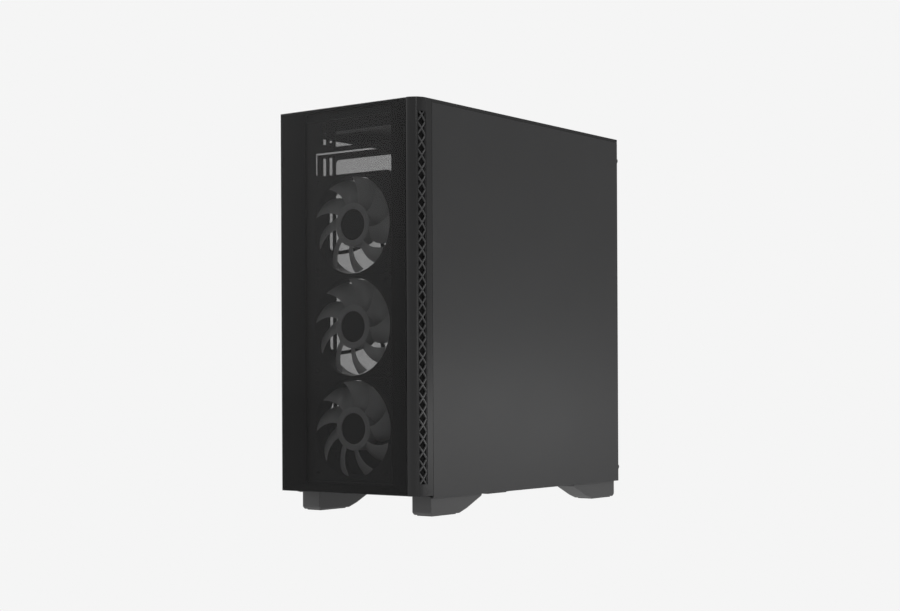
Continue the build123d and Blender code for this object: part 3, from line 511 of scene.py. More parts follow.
def merged(name, *parts):
    """One mesh from (mesh, material) pairs, each part keeping its material."""
    bm = bmesh.new()
    materials = []
    for mesh, material in parts:
        if material not in materials:
            materials.append(material)
        done = len(bm.faces)
        bm.from_mesh(mesh)
        bm.faces.ensure_lookup_table()
        for face in bm.faces[done:]:
            face.material_index = materials.index(material)
    return painted(as_mesh(bm, name), *materials)


def cad_copy(node):
    """A merged copy of a CAD node's mesh with its flat faces joined up."""
    bm = bmesh.new()
    bm.from_mesh(frame["nodes"][node].data)
    bmesh.ops.remove_doubles(bm, verts=bm.verts, dist=0.000002)
    bmesh.ops.dissolve_limit(bm, angle_limit=radians(0.5), verts=bm.verts, edges=bm.edges)
    return bm


def rounded_node(node, material, width=0.0003, segments=2, others=(), choose=None, spare=None):
    """A CAD node's shape with its edges rounded, as the real pressed or moulded piece has them.

    choose picks one of (material, *others) for each face from the face's middle.
    spare says, from an edge's middle, which edges stay as they are."""
    bm = cad_copy(node)
    if choose:
        for face in bm.faces:
            face.material_index = choose(face.calc_center_median() / MM)
    if spare:
        bm.edges.ensure_lookup_table()
        weight = bm.edges.layers.float.new("bevel_weight_edge")
        for edge in bm.edges:
            hard = edge.is_manifold and edge.calc_face_angle(0) > radians(40)
            centre = (edge.verts[0].co + edge.verts[1].co) / 2
            edge[weight] = 1.0 if hard and not spare(centre) else 0.0
    mesh = as_mesh(bm, node + "_shape")
    mesh = round_edges(painted(mesh, material, *others), width, segments, by_weight=bool(spare))
    return add_piece(node + "_shape", mesh, body_of(node), node)


def paint_node(node, material):
    """A new finish on a CAD node that keeps its own mesh."""
    painted(frame["nodes"][node].data, material)


# Outlines, lathe and sweep

def rounded_rectangle(x, y, radius, steps=5):
    """Points round a rectangle between two (low, high) pairs, with round corners."""
    points = []
    for corner, (cx, cy) in enumerate(((x[1], y[1]), (x[0], y[1]), (x[0], y[0]), (x[1], y[0]))):
        inner_x = cx - radius * (1 if cx == x[1] else -1)
        inner_y = cy - radius * (1 if cy == y[1] else -1)
        for i in range(steps + 1):
            turn = radians(90 * corner + 90 * i / steps)
            points.append((inner_x + radius * cos(turn), inner_y + radius * sin(turn)))
    return points


def circle(radius, count=32, x=0.0, y=0.0):
    """Points round a circle."""
    return [(x + radius * cos(2 * pi * i / count), y + radius * sin(2 * pi * i / count))
            for i in range(count)]


def plate(name, outlines, low, high, rounding):
    """A flat plate between two heights, cut to closed outlines in millimetres, with rounded edges."""
    curve = bpy.data.curves.new(name, "CURVE")
    curve.dimensions = "2D"
    curve.fill_mode = "BOTH"
    curve.extrude = ((high - low) / 2 - rounding) * MM
    curve.bevel_depth = rounding * MM
    curve.bevel_resolution = 1
    curve.offset = -rounding * MM
    for outline in outlines:
        spline = curve.splines.new("POLY")
        spline.points.add(len(outline) - 1)
        for point, (x, y) in zip(spline.points, outline):
            point.co = (x * MM, y * MM, 0, 1)
        spline.use_cyclic_u = True
    mesh = settle(curve)
    mesh.transform(Matrix.Translation((0, 0, (low + high) / 2 * MM)))
    bm = bmesh.new()
    bm.from_mesh(mesh)
    bmesh.ops.remove_doubles(bm, verts=bm.verts, dist=0.000002)
    bmesh.ops.recalc_face_normals(bm, faces=bm.faces)
    return as_mesh(bm, name, 50)


def lathe(name, profile, count=64):
    """A closed profile of (radius, height) points in millimetres, turned round Z.

    Points at radius 0 close up into one pole."""
    bm = bmesh.new()
    rings = []
    for radius, height in profile:
        if radius == 0:
            rings.append([bm.verts.new((0, 0, height * MM))] * count)
        else:
            rings.append([bm.verts.new((x * MM, y * MM, height * MM)) for x,
                          y in circle(radius, count)])
    for ring, after in zip(rings, rings[1:] + rings[:1]):
        for i in range(count):
            j = (i + 1) % count
            corners = []
            for vert in (ring[i], ring[j], after[j], after[i]):
                if vert not in corners:
                    corners.append(vert)
            if len(corners) > 2:
                bm.faces.new(corners)
    bmesh.ops.recalc_face_normals(bm, faces=bm.faces)
    return as_mesh(bm, name)


def rounded_box(name, x, y, z, rounding, segments=2):
    """A box between (low, high) pairs in millimetres, with rounded edges."""
    bm = bmesh.new()
    bmesh.ops.create_cube(bm, size=1)
    for vert in bm.verts:
        for axis, (low, high) in enumerate((x, y, z)):
            vert.co[axis] = ((low + high) / 2 + vert.co[axis] * (high - low)) * MM
    bmesh.ops.bevel(bm, geom=list(bm.edges) + list(bm.verts), offset=rounding * MM, segments=segments,
                    profile=0.5, affect="EDGES")
    return as_mesh(bm, name, 80)


def placed(mesh, matrix):
    """The mesh moved by a matrix; its faces are turned back if the matrix mirrors it."""
    mesh.transform(matrix)
    if matrix.determinant() < 0:
        mesh.flip_normals()
    return mesh


# Geometry Nodes helpers

def new_tree(name, inputs):
    """A Geometry Nodes tree with a starting geometry, named inputs and a finished geometry."""
    tree = bpy.data.node_groups.new(name, "GeometryNodeTree")
    tree.interface.new_socket("Geometry", in_out="INPUT", socket_type="NodeSocketGeometry")
    for label, kind in inputs:
        tree.interface.new_socket(label, in_out="INPUT", socket_type="NodeSocket" + kind)
    tree.interface.new_socket("Geometry", in_out="OUTPUT", socket_type="NodeSocketGeometry")
    return tree, tree.nodes.new("NodeGroupInput"), tree.nodes.new("NodeGroupOutput")


def step(tree, kind, links=None, values=None, **settings):
    """One node of a tree: settings first, then values and links into its named inputs."""
    made = tree.nodes.new(kind)
    for label, value in settings.items():
        setattr(made, label, value)
    for label, value in (values or {}).items():
        made.inputs[label].default_value = value
    for label, source in (links or {}).items():
        tree.links.new(source, made.inputs[label])
    return made


def maths(tree, operation, *terms):
    """The output of a Math node whose terms are sockets or numbers."""
    made = step(tree, "ShaderNodeMath", operation=operation)
    for i, term in enumerate(terms):
        if isinstance(term, (int, float)):
            made.inputs[i].default_value = term
        else:
            tree.links.new(term, made.inputs[i])
    return made.outputs[0]


def vector(tree, x=0, y=0, z=0):
    """The output of a Combine XYZ node whose parts are sockets or numbers."""
    made = tree.nodes.new("ShaderNodeCombineXYZ")
    for label, term in zip("XYZ", (x, y, z)):
        if isinstance(term, (int, float)):
            made.inputs[label].default_value = term
        else:
            tree.links.new(term, made.inputs[label])
    return made.outputs[0]


def close_tree(tree, geometry, start, end):
    """Ends a tree with Realize Instances and Set Material."""
    real = step(tree, "GeometryNodeRealizeInstances", {"Geometry": geometry})
    skin = step(tree, "GeometryNodeSetMaterial", {"Geometry": real.outputs[0],
                                                  "Material": start.outputs["Material"]})
    tree.links.new(skin.outputs[0], end.inputs["Geometry"])
    return tree


def grown(tree, mesh, **values):
    """The plain mesh that a tree makes from a starting mesh and its named inputs."""
    names = {item.name: item.identifier for item in tree.interface.items_tree if item.in_out == "INPUT"}

    def modify(holder):
        grow = holder.modifiers.new("grow", "NODES")
        grow.node_group = tree
        for label, value in values.items():
            grow[names[label.replace("_", " ")]] = value
    return soften(settle(mesh, modify))


def ring_of_copies_tree():
    """Copies of the starting piece set evenly round the Z axis."""
    tree, start, end = new_tree("ring_of_copies", [("Count", "Int"), ("Phase", "Float"),
                                                   ("Material", "Material")])
    places = step(tree, "GeometryNodeMeshLine", {"Count": start.outputs["Count"]},
                  {"Offset": (0, 0, 0)})
    index = step(tree, "GeometryNodeInputIndex")
    turn = maths(tree, "DIVIDE", 2 * pi, start.outputs["Count"])
    turn = maths(tree, "MULTIPLY", turn, index.outputs[0])
    turn = maths(tree, "ADD", turn, start.outputs["Phase"])
    copies = step(tree, "GeometryNodeInstanceOnPoints",
                  {"Points": places.outputs[0], "Instance": start.outputs["Geometry"],
                   "Rotation": vector(tree, z=turn)})
    return close_tree(tree, copies.outputs[0], start, end)


def copies_at_places_tree():
    """A piece set at every vertex of the starting mesh, its Z axis turned to Axis."""
    tree, start, end = new_tree("copies_at_places", [("Piece", "Object"), ("Axis", "Vector"),
                                                     ("Spin", "Float"),
                                                     ("Material", "Material")])
    piece = step(tree, "GeometryNodeObjectInfo", {"Object": start.outputs["Piece"]})
    align = step(tree, "FunctionNodeAlignRotationToVector", {"Vector": start.outputs["Axis"]}, axis="Z")
    chance = step(tree, "FunctionNodeRandomValue", {"Max": start.outputs["Spin"]}, {"Seed": 5},
                  data_type="FLOAT")
    spin = step(tree, "FunctionNodeRotateRotation",
                {"Rotation": align.outputs[0], "Rotate By": vector(tree, z=chance.outputs[1])},
                rotation_space="LOCAL")
    copies = step(tree, "GeometryNodeInstanceOnPoints",
                  {"Points": start.outputs["Geometry"], "Instance": piece.outputs["Geometry"],
                   "Rotation": spin.outputs[0]})
    return close_tree(tree, copies.outputs[0], start, end)


def corner_bend(tree, start, geometry):
    """Lays a strip, whose X is its depth, on the bezel's round corner or on its flat side."""
    here = step(tree, "GeometryNodeInputPosition")
    split = step(tree, "ShaderNodeSeparateXYZ", {"Vector": here.outputs[0]})
    reach = maths(tree, "ADD", start.outputs["Radius"], split.outputs["X"])
    ahead = maths(tree, "SUBTRACT", split.outputs["Y"], start.outputs["Centre Y"])
    ahead = maths(tree, "MINIMUM", ahead, 0.0)
    square = maths(tree, "SUBTRACT", maths(tree, "MULTIPLY", reach, reach),
                   maths(tree, "MULTIPLY", ahead, ahead))
    out = maths(tree, "SQRT", maths(tree, "MAXIMUM", square, 0.0))
    x = maths(tree, "ADD", out, start.outputs["Centre X"])
    moved = step(tree, "GeometryNodeSetPosition",
                 {"Geometry": geometry, "Position": vector(tree, x, split.outputs["Y"],
                                                           split.outputs["Z"])})
    return moved.outputs[0]


BEND = [("Centre X", "Float"), ("Centre Y", "Float"), ("Radius", "Float")]


def crossed_lattice_tree():
    """The starting bar crossed with its mirror, repeated up a column between two rails."""
    tree, start, end = new_tree("crossed_lattice", [("Count", "Int"), ("Pitch", "Float"),
                                                    ("Low", "Vector"),
                                                    ("Width", "Float"), ("Rail", "Float"), ("Depth",
                                                                                            "Float"),
                                                    *BEND, ("Material", "Material")])
    mirror = step(tree, "GeometryNodeTransform", {"Geometry": start.outputs["Geometry"]},
                  {"Scale": (1, 1, -1)})
    flip = step(tree, "GeometryNodeFlipFaces", {"Mesh": mirror.outputs[0]})
    cross = step(tree, "GeometryNodeJoinGeometry", {"Geometry": start.outputs["Geometry"]})
    tree.links.new(flip.outputs[0], cross.inputs[0])
    places = step(tree, "GeometryNodeMeshLine",
                  {"Count": start.outputs["Count"], "Start Location": start.outputs["Low"],
                   "Offset": vector(tree, z=start.outputs["Pitch"])})
    column = step(tree, "GeometryNodeInstanceOnPoints",
                  {"Points": places.outputs[0], "Instance": cross.outputs[0]})
    column = step(tree, "GeometryNodeRealizeInstances", {"Geometry": column.outputs[0]})
    total = maths(tree, "MULTIPLY", start.outputs["Pitch"], start.outputs["Count"])
    low = step(tree, "ShaderNodeSeparateXYZ", {"Vector": start.outputs["Low"]})
    lift = maths(tree, "SUBTRACT", total, start.outputs["Pitch"])
    middle = maths(tree, "ADD", low.outputs["Z"], maths(tree, "DIVIDE", lift, 2.0))
    edge = maths(tree, "DIVIDE", maths(tree, "SUBTRACT", start.outputs["Width"],
                                       start.outputs["Rail"]), 2.0)
    whole = step(tree, "GeometryNodeJoinGeometry", {"Geometry": column.outputs[0]})
    for way in (-1.0, 1.0):
        rail = step(tree, "GeometryNodeMeshCube",
                    {"Size": vector(tree, start.outputs["Depth"], start.outputs["Rail"], total)})
        aside = maths(tree, "MULTIPLY_ADD", edge, way, low.outputs["Y"])
        rail = step(tree, "GeometryNodeTransform",
                    {"Geometry": rail.outputs[0], "Translation": vector(tree, 0, aside, middle)})
        tree.links.new(rail.outputs[0], whole.inputs[0])
    bent = corner_bend(tree, start, whole.outputs[0])
    return close_tree(tree, bent, start, end)


def woven_sheet_tree():
    """Straight wires both ways across a sheet whose depth is X, then laid on the corner."""
    tree, start, end = new_tree("woven_sheet", [("Centre", "Vector"), ("Width", "Float"),
                                                ("Height", "Float"),
                                                ("Pitch", "Float"), ("Wire", "Float"), ("Bends", "Int"),
                                                *BEND, ("Material", "Material")])
    out = start.outputs
    centre = step(tree, "ShaderNodeSeparateXYZ", {"Vector": out["Centre"]})
    whole = step(tree, "GeometryNodeJoinGeometry")
    for long_way, across, level, bends in ((0, "Height", 0.5, True), (1, "Width", -0.5, False)):
        count = maths(tree, "FLOOR", maths(tree, "DIVIDE", out[across], out["Pitch"]))
        span = maths(tree, "MULTIPLY", maths(tree, "SUBTRACT", count, 1.0), out["Pitch"])
        first = maths(tree, "MULTIPLY", span, -0.5)
        depth = maths(tree, "MULTIPLY", out["Wire"], level)
        size = vector(tree, out["Wire"], out["Width"], out["Wire"]) if long_way == 0 else vector(
            tree, out["Wire"], out["Wire"], out["Height"])
        wire = step(tree, "GeometryNodeMeshCube", {"Size": size})
        if bends:
            tree.links.new(out["Bends"], wire.inputs["Vertices Y"])
        y = centre.outputs["Y"] if long_way == 0 else maths(tree, "ADD", centre.outputs["Y"], first)
        z = maths(tree, "ADD", centre.outputs["Z"], first) if long_way == 0 else centre.outputs["Z"]
        offset = vector(tree, z=out["Pitch"]) if long_way == 0 else vector(tree, y=out["Pitch"])
        places = step(tree, "GeometryNodeMeshLine",
                      {"Count": count, "Start Location": vector(tree, depth, y, z), "Offset": offset})
        wires = step(tree, "GeometryNodeInstanceOnPoints",
                     {"Points": places.outputs[0], "Instance": wire.outputs[0]})
        real = step(tree, "GeometryNodeRealizeInstances", {"Geometry": wires.outputs[0]})
        tree.links.new(real.outputs[0], whole.inputs[0])
    bent = corner_bend(tree, start, whole.outputs[0])
    return close_tree(tree, bent, start, end)


def row_of_copies_tree():
    """Copies of the starting piece in a straight row."""
    tree, start, end = new_tree("row_of_copies", [("Count", "Int"), ("Offset", "Vector"),
                                                  ("Material", "Material")])
    places = step(tree, "GeometryNodeMeshLine", {"Count": start.outputs["Count"],
                                                 "Offset": start.outputs["Offset"]})
    copies = step(tree, "GeometryNodeInstanceOnPoints",
                  {"Points": places.outputs[0], "Instance": start.outputs["Geometry"]})
    return close_tree(tree, copies.outputs[0], start, end)


RING_OF_COPIES = ring_of_copies_tree()
COPIES_AT_PLACES = copies_at_places_tree()
CROSSED_LATTICE = crossed_lattice_tree()
WOVEN_SHEET = woven_sheet_tree()
ROW_OF_COPIES = row_of_copies_tree()


def ring(mesh, count, phase, material):
    """Copies of a mesh round the Z axis, phase in degrees."""
    return grown(RING_OF_COPIES, mesh, Count=count, Phase=radians(phase), Material=material)


def row(mesh, count, offset, material):
    """Copies of a mesh in a row, offset in millimetres."""
    return grown(ROW_OF_COPIES, mesh, Count=count, Offset=Vector(offset) * MM, Material=material)


def copies(mesh, places, axis, material, spin=0.0):
    """Copies of a mesh at places (metres) with its Z axis along axis."""
    points = bpy.data.meshes.new(mesh.name)
    points.from_pydata([tuple(place) for place in places], [], [])
    piece = bpy.data.objects.new("piece", mesh)
    bpy.context.scene.collection.objects.link(piece)
    result = grown(COPIES_AT_PLACES, points, Piece=piece, Axis=axis, Spin=spin, Material=material)
    bpy.data.objects.remove(piece)
    return result


# First pass: every CAD node gets its finish
FINISHES = {
    "case_steel": CHASSIS_STEEL, "bezel_plastic": BEZEL_BLACK, "cover_plastic": COVER_BLACK,
    "front_tint": FRONT_TINT, "side_tint": SIDE_TINT, "fan_plastic": FAN_BLACK,
    "blade_plastic": BLADE_SMOKE,
    "foot_plastic": FOOT_BLACK, "pad_rubber": RUBBER, "screw_steel": SCREW_BLACK,
    "bright_steel": SCREW_BRIGHT,
    "standoff_brass": BRASS, "circuit_board": BOARD_MASK, "connector_plastic": CONNECTOR,
    "fin_aluminium": FINS, "drive_metal": DRIVE_METAL, "filter_mesh": MESH_BLACK,
}
for entry in frame["record"]["subparts"]:
    paint_node(entry["node"], FINISHES[entry["material_slot"]])


# Bezel, glass and vents

BEZEL = "bezel"
VENT_LOW, VENT_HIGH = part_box("grille_right")
CROSSES = 28
CROSS_PITCH = 15.38
FIRST_CROSS = 5.9                       # height of the lowest crossing above the vent's low edge
BAR = 1.4
BAR_DEPTH = 1.8
RAIL = 0.6                              # the strip down each side of a vent
VENT_INSET = 1.7                        # from the bezel's face to the middle of a bar
MESH_BEHIND = 1.55                      # from the middle of a bar to the dust mesh
FLAT_BEND = 10                          # radius used where a vent lies on the flat side


def vent_bar(width, pitch):
    """One leaning bar of the vent: a rounded section carried across the vent's width."""
    bm = bmesh.new()
    lean = hypot(width, pitch) / width
    across, deep, chamfer = BAR / 2 * lean, BAR_DEPTH / 2, 0.42
    section = [(deep, -across + chamfer), (deep, across - chamfer), (deep - chamfer, across),
               (-deep, across), (-deep, -across), (deep - chamfer, -across)]
    rings = []
    stations = 8
    for i in range(stations + 1):
        y = -width / 2 + width * i / stations
        rings.append([bm.verts.new((x * MM, y * MM, (z + y * pitch / width) * MM)) for x, z in section])
    for ring_now, ring_next in zip(rings, rings[1:]):
        for i in range(len(section)):
            j = (i + 1) % len(section)
            bm.faces.new((ring_now[i], ring_now[j], ring_next[j], ring_next[i]))
    bm.faces.new(rings[0])
    bm.faces.new(reversed(rings[-1]))
    bmesh.ops.recalc_face_normals(bm, faces=bm.faces)
    return as_mesh(bm, "vent_bar", 20)


def trimmed(mesh, low, high):
    """The mesh cut off square below low and above high, and closed again."""
    bm = bmesh.new()
    bm.from_mesh(mesh)
    for height, way in ((low, -1), (high, 1)):
        geom = list(bm.verts) + list(bm.edges) + list(bm.faces)
        bmesh.ops.bisect_plane(bm, geom=geom, plane_co=(0, 0, height), plane_no=(0, 0, way),
                               clear_outer=True)
        bmesh.ops.holes_fill(bm, edges=[edge for edge in bm.edges if edge.is_boundary])
    return painted(as_mesh(bm, mesh.name, 20), LATTICE_PAINTED_LIGHT)


def add_vent(node, side):
    """One crossed vent and the dust mesh behind it, on the right corner or the flat left side."""
    low, high = VENT_LOW / MM, VENT_HIGH / MM
    width = high.y - low.y
    if side > 0:
        bend = {"Centre_X": BEZEL_HIGH.x - CORNER, "Centre_Y": FRONT + CORNER,
                "Radius": CORNER - VENT_INSET * MM}
    else:
        bend = {"Centre_X": BEZEL_LOW.x + (VENT_INSET - FLAT_BEND) * MM, "Centre_Y": FRONT - 1,
                "Radius": FLAT_BEND * MM}
    bar = vent_bar(width, CROSS_PITCH)
    first = (0, (low.y + high.y) / 2 * MM, (low.z + FIRST_CROSS) * MM)
    if side < 0:
        bar = placed(bar, Matrix.Diagonal((-1, 1, 1, 1)))
    mesh = grown(CROSSED_LATTICE, bar, Count=CROSSES, Pitch=CROSS_PITCH * MM, Low=first,
                 Width=width * MM,
                 Rail=RAIL * MM, Depth=BAR_DEPTH * MM, Material=LATTICE_PAINTED_LIGHT, **bend)
    add_piece(node + "_bars", trimmed(mesh, VENT_LOW.z, VENT_HIGH.z), BEZEL, node)
    blank = bpy.data.meshes.new("vent_dust_mesh")
    behind = {"Centre_X": bend["Centre_X"], "Centre_Y": bend["Centre_Y"],
              "Radius": bend["Radius"] - side * MESH_BEHIND * MM}
    sheet_low, sheet_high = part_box("vent_filters")
    centre = (sheet_low + sheet_high) / 2
    return grown(WOVEN_SHEET, blank, Centre=(0, centre.y, centre.z),
                 Width=sheet_high.y - sheet_low.y - 0.1 * MM,
                 Height=sheet_high.z - sheet_low.z - 0.1 * MM, Pitch=0.8 * MM, Wire=0.2 * MM, Bends=8,
                 Material=DUST_MESH, **behind)


def near_vent(place):
    """True in the part of the bezel that holds the crossed vents."""
    return FRONT + 4.5 * MM < place.y < FRONT + 19 * MM and abs(place.x) > 85 * MM


CLEAR_FRONT = ((-66.6, 66.6), (36, 475))    # the see-through part of the front pane, X then Z
SIDE_BORDER = 14                        # width of the side pane's black border
BORDER_SINK = 0.1                       # from a pane's inner face to its border
BORDER_THINNER = 0.4                    # how much thinner a border is than its pane


def add_front():
    """The bezel, its two vents, the tinted pane and the black border printed behind it."""
    rounded_node("bezel_frame", BEZEL_BLACK, 0.0005, 3, spare=near_vent)
    sheets = [(add_vent(node, side), DUST_MESH) for node,
              side in (("grille_right", 1), ("grille_left", -1))]
    add_piece("vent_dust_meshes", merged("vent_dust_meshes", *sheets), BEZEL, "vent_filters")
    rounded_node("front_glass", FRONT_TINT, 0.0002, 2)
    thick = GLASS_HIGH.y - GLASS_LOW.y - BORDER_THINNER * MM
    border = glass_border("front_border", (GLASS_LOW.x, GLASS_HIGH.x), (GLASS_LOW.z, GLASS_HIGH.z),
                          *[(low * MM, high * MM) for low, high in CLEAR_FRONT], thick)
    upright = Matrix(((1, 0, 0, 0), (0, 0, -1, GLASS_HIGH.y - BORDER_SINK * MM - thick / 2),
                      (0, 1, 0, 0), (0, 0, 0, 1)))
    piece = add_piece("front_glass_border", placed(border, upright), BEZEL)


def glass_border(name, outer_x, outer_y, inner_x, inner_y, thick):
    """A pane's black printed border: a frame nearly as thick as the glass, so the pane's edge also
    reads dark as painted shade for the dark that refraction gives there, cut to two rectangles.
    """
    inset = 0.0006
    outer = [(x / MM, y / MM) for x, y in rounded_rectangle([outer_x[0] + inset, outer_x[1] - inset],
                                                            [outer_y[0] + inset,
                                                             outer_y[1] - inset], inset)]
    inner = [(x / MM, y / MM) for x, y in rounded_rectangle(inner_x, inner_y, 0.003)]
    return painted(plate(name, [outer, inner], -thick / 2 / MM, thick / 2 / MM, 0.1), PAINT_BORDER)


add_front()


# Side panels, top and feet

def add_outside():
    """The steel side, the clear pane with its printed border, the top cover and the feet."""
    rounded_node("side_panel", POWDER_STEEL, 0.0004, 3)
    rounded_node("side_glass", SIDE_TINT, 0.0002, 2)
    rounded_node("top_cover", COVER_BLACK, 0.0005, 3)
    rounded_node("top_filter_frame", COVER_BLACK, 0.0004, 2)
    rounded_node("feet", FOOT_BLACK, 0.0014, 3)
    rounded_node("foot_pads", RUBBER, 0.0003, 2)
    low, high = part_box("side_glass")
    thick = high.x - low.x - BORDER_THINNER * MM
    edge = SIDE_BORDER * MM
    border = glass_border("side_border", (low.y, high.y), (low.z, high.z),
                          (low.y + edge, high.y - edge), (low.z + edge, high.z - edge), thick)
    upright = Matrix(((0, 0, 1, high.x - BORDER_SINK * MM - thick / 2), (1, 0, 0, 0), (0, 1, 0, 0),
                      (0, 0, 0, 1)))
    piece = add_piece("side_glass_border", placed(border, upright), body_of("side_glass"))


add_outside()


# Fans

FAN_BORE = 57.5


def fan_place(node):
    """A case fan's own frame: X right, Y down, Z from the intake face to the back."""
    low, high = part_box(node)
    return Matrix((
        (1, 0, 0, (low.x + high.x) / 2),
        (0, 0, 1, low.y),
        (0, -1, 0, (low.z + high.z) / 2),
        (0, 0, 0, 1),
    ))


def swept(name, path, section):
    """A section of (sideways, up) points carried along a flat path, closed at both ends."""
    bm = bmesh.new()
    rings = []
    for i, point in enumerate(path):
        before, after = path[max(i - 1, 0)], path[min(i + 1, len(path) - 1)]
        along = Vector((after[0] - before[0], after[1] - before[1])).normalized()
        rings.append([bm.verts.new(((point[0] - along.y * s) * MM, (point[1] + along.x * s) * MM,
                                    (point[2] + up) * MM)) for s, up in section])
    for ring_now, ring_next in zip(rings, rings[1:]):
        for i in range(len(section)):
            j = (i + 1) % len(section)
            bm.faces.new((ring_now[i], ring_now[j], ring_next[j], ring_next[i]))
    bm.faces.new(rings[0])
    bm.faces.new(reversed(rings[-1]))
    bmesh.ops.recalc_face_normals(bm, faces=bm.faces)
    return as_mesh(bm, name)


def fan_shell():
    """The frame of a 120 mm fan: flanges, a flared barrel, corner posts, seat and bowed struts."""
    parts = []
    holes = [circle(2.15, 16, x, y) for x in (-52.5, 52.5) for y in (-52.5, 52.5)]
    square = rounded_rectangle((-60, 60), (-60, 60), 6, 6)
    for low, high in ((0, 4), (21, 25)):
        parts.append(plate("fan_flange", [square, circle(FAN_BORE + 0.9, 96)] + holes, low, high, 0.5))
    barrel = [(58.9, 0.25), (58.4, 0.2), (57.9, 0.7), (57.55, 2.2), (57.5, 5), (57.5, 20), (57.6, 22.8),
              (57.9, 24.3), (58.4, 24.8), (58.9, 24.75), (59.3, 22), (59.3, 3)]
    parts.append(lathe("fan_barrel", barrel, 128))
    post = lathe("fan_post", [(2.15, 3.8), (2.15, 21.2), (3.7, 21.2), (3.7, 3.8)], 20)
    for x in (-52.5, 52.5):
        for y in (-52.5, 52.5):
            parts.append(placed(post.copy(), Matrix.Translation((x * MM, y * MM, 0))))
    seat = [(0, 21.5), (22.6, 21.5), (24, 22.3), (24, 24.2), (23.4, 24.85), (21, 24.95), (20.4, 24.5),
            (0, 24.5)]
    parts.append(lathe("motor_seat", seat))
    course = [(6, 21), (-4, 24.2), (-14, 27), (-24, 29), (-34, 30), (-44, 29.6), (-51.5, 27.6)]
    path = [(x, y, 23.2) for x, y in course]
    half = [(-2.1, -1.2), (-1.2, -1.5), (1.2, -1.5), (2.1, -1.2), (2.1, 1.2), (1.4, 1.6), (-1.4, 1.6),
            (-2.1, 1.2)]
    strut = swept("fan_strut", path, half)
    parts.append(ring(strut, 4, 0, FAN_BLACK))
    return parts


def blade_mesh(tip, hub, chord, pitch, middle_z, sweep=-22.0, thick=1.5):
    """One curved, twisted blade: chord and pitch are (root, tip) pairs."""
    bm = bmesh.new()
    rows, columns = 14, 10
    faces = {}
    for side in (1, -1):
        for i in range(rows + 1):
            s = i / rows
            length = chord[0] + (chord[1] - chord[0]) * s
            lean = radians(pitch[0] + (pitch[1] - pitch[0]) * s)
            for j in range(columns + 1):
                v = j / columns - 0.5
                round_off = max(0.0, v - 0.22) / 0.28
                radius = hub - 1 + (tip - hub + 1) * s
                radius -= (tip - hub) * 0.13 * round_off ** 2 * s ** 2
                camber = 0.07 * length * (1 - 4 * v * v)
                body = thick * (0.35 + 0.65 * (1 - 4 * v * v) ** 0.5) * (1 - 0.35 * s)
                normal = camber + side * body / 2
                along = v * length * cos(lean) + normal * sin(lean)
                height = v * length * sin(lean) - normal * cos(lean)
                turn = radians(sweep) * s ** 1.25 - radians(sweep) * 0.45 + along / max(radius, 1)
                faces[side, i, j] = bm.verts.new((radius * cos(turn) * MM, radius * sin(turn) * MM,
                                                  (middle_z + height) * MM))
    for side in (1, -1):
        for i in range(rows):
            for j in range(columns):
                bm.faces.new([faces[side, a, b] for a, b in ((i, j), (i + 1, j), (i + 1, j + 1),
                                                             (i, j + 1))])
    rim = [(i, 0) for i in range(rows)] + [(rows, j) for j in range(columns)]
    rim += [(i, columns) for i in range(rows, 0, -1)] + [(0, j) for j in range(columns, 0, -1)]
    for (i, j), (k, m) in zip(rim, rim[1:] + rim[:1]):
        bm.faces.new((faces[1, i, j], faces[1, k, m], faces[-1, k, m], faces[-1, i, j]))
    bmesh.ops.recalc_face_normals(bm, faces=bm.faces)
    return as_mesh(bm, "fan_blade", 60)


def rotor(name, tip, hub, depth, chord, pitch, phase, cap):
    """A fan's rotor in its own frame: nine blades on a frosted ring round a dark hub cap."""
    blades = ring(blade_mesh(tip, hub, chord, pitch, depth / 2), 9, phase, BLADE_SMOKE)
    top = 2.2
    collar = [(cap + 0.3, top + 0.4), (hub - 1.6, top), (hub - 0.5, top + 0.5), (hub, top + 1.6),
              (hub, depth - 0.6),
              (hub - 1.2, depth - 0.5), (hub - 1.2, top + 1.8), (cap + 0.3, top + 1.8)]
    dome = [(0, top + 1.6), (cap * 0.5, top + 1.65), (cap - 1.2, top + 1.8), (cap, top + 2.2),
            (cap, top + 3.2),
            (0, top + 3.2)]
    motor = [(0, 5.6), (hub - 2.2, 5.6), (hub - 2.2, depth - 0.7), (hub - 3, depth - 0.3),
             (1.5, depth - 0.3),
             (1.5, depth + 1), (0, depth + 1)]
    return merged(name, (blades, BLADE_SMOKE), (lathe(name, collar), BLADE_SMOKE),
                  (lathe(name, dome), HUB_BLACK),
                  (lathe(name, motor), HUB_BLACK))


def add_case_fans():
    """Five 120 mm fans: three at the front, one at the back and one on the cooler."""
    shell = merged("fan_shell", *[(part, FAN_BLACK) for part in fan_shell()])
    fans = {"fan_frame_top": ("fan_rotor_top", 18), "fan_frame_middle": ("fan_rotor_middle", 12.6),
            "fan_frame_bottom": ("fan_rotor_bottom", 3), "rear_fan_frame": ("rear_fan_rotor", 31),
            "cooler_fan_frame": ("cooler_fan_rotor", 12)}
    for frame_node, (rotor_node, phase) in fans.items():
        place = fan_place(frame_node)
        add_piece(frame_node + "_shell", placed(shell.copy(), place), body_of(frame_node), frame_node)
        turned = rotor(rotor_node + "_blades", 56.0, 26.0, 20, (23, 34), (42, 31), phase, 18)
        add_piece(rotor_node + "_blades", placed(turned, place), body_of(rotor_node), rotor_node)


add_case_fans()


# Screws

def depth(offset):
    """The Y, in metres, of a place this many millimetres behind the front."""
    return FRONT + offset * MM


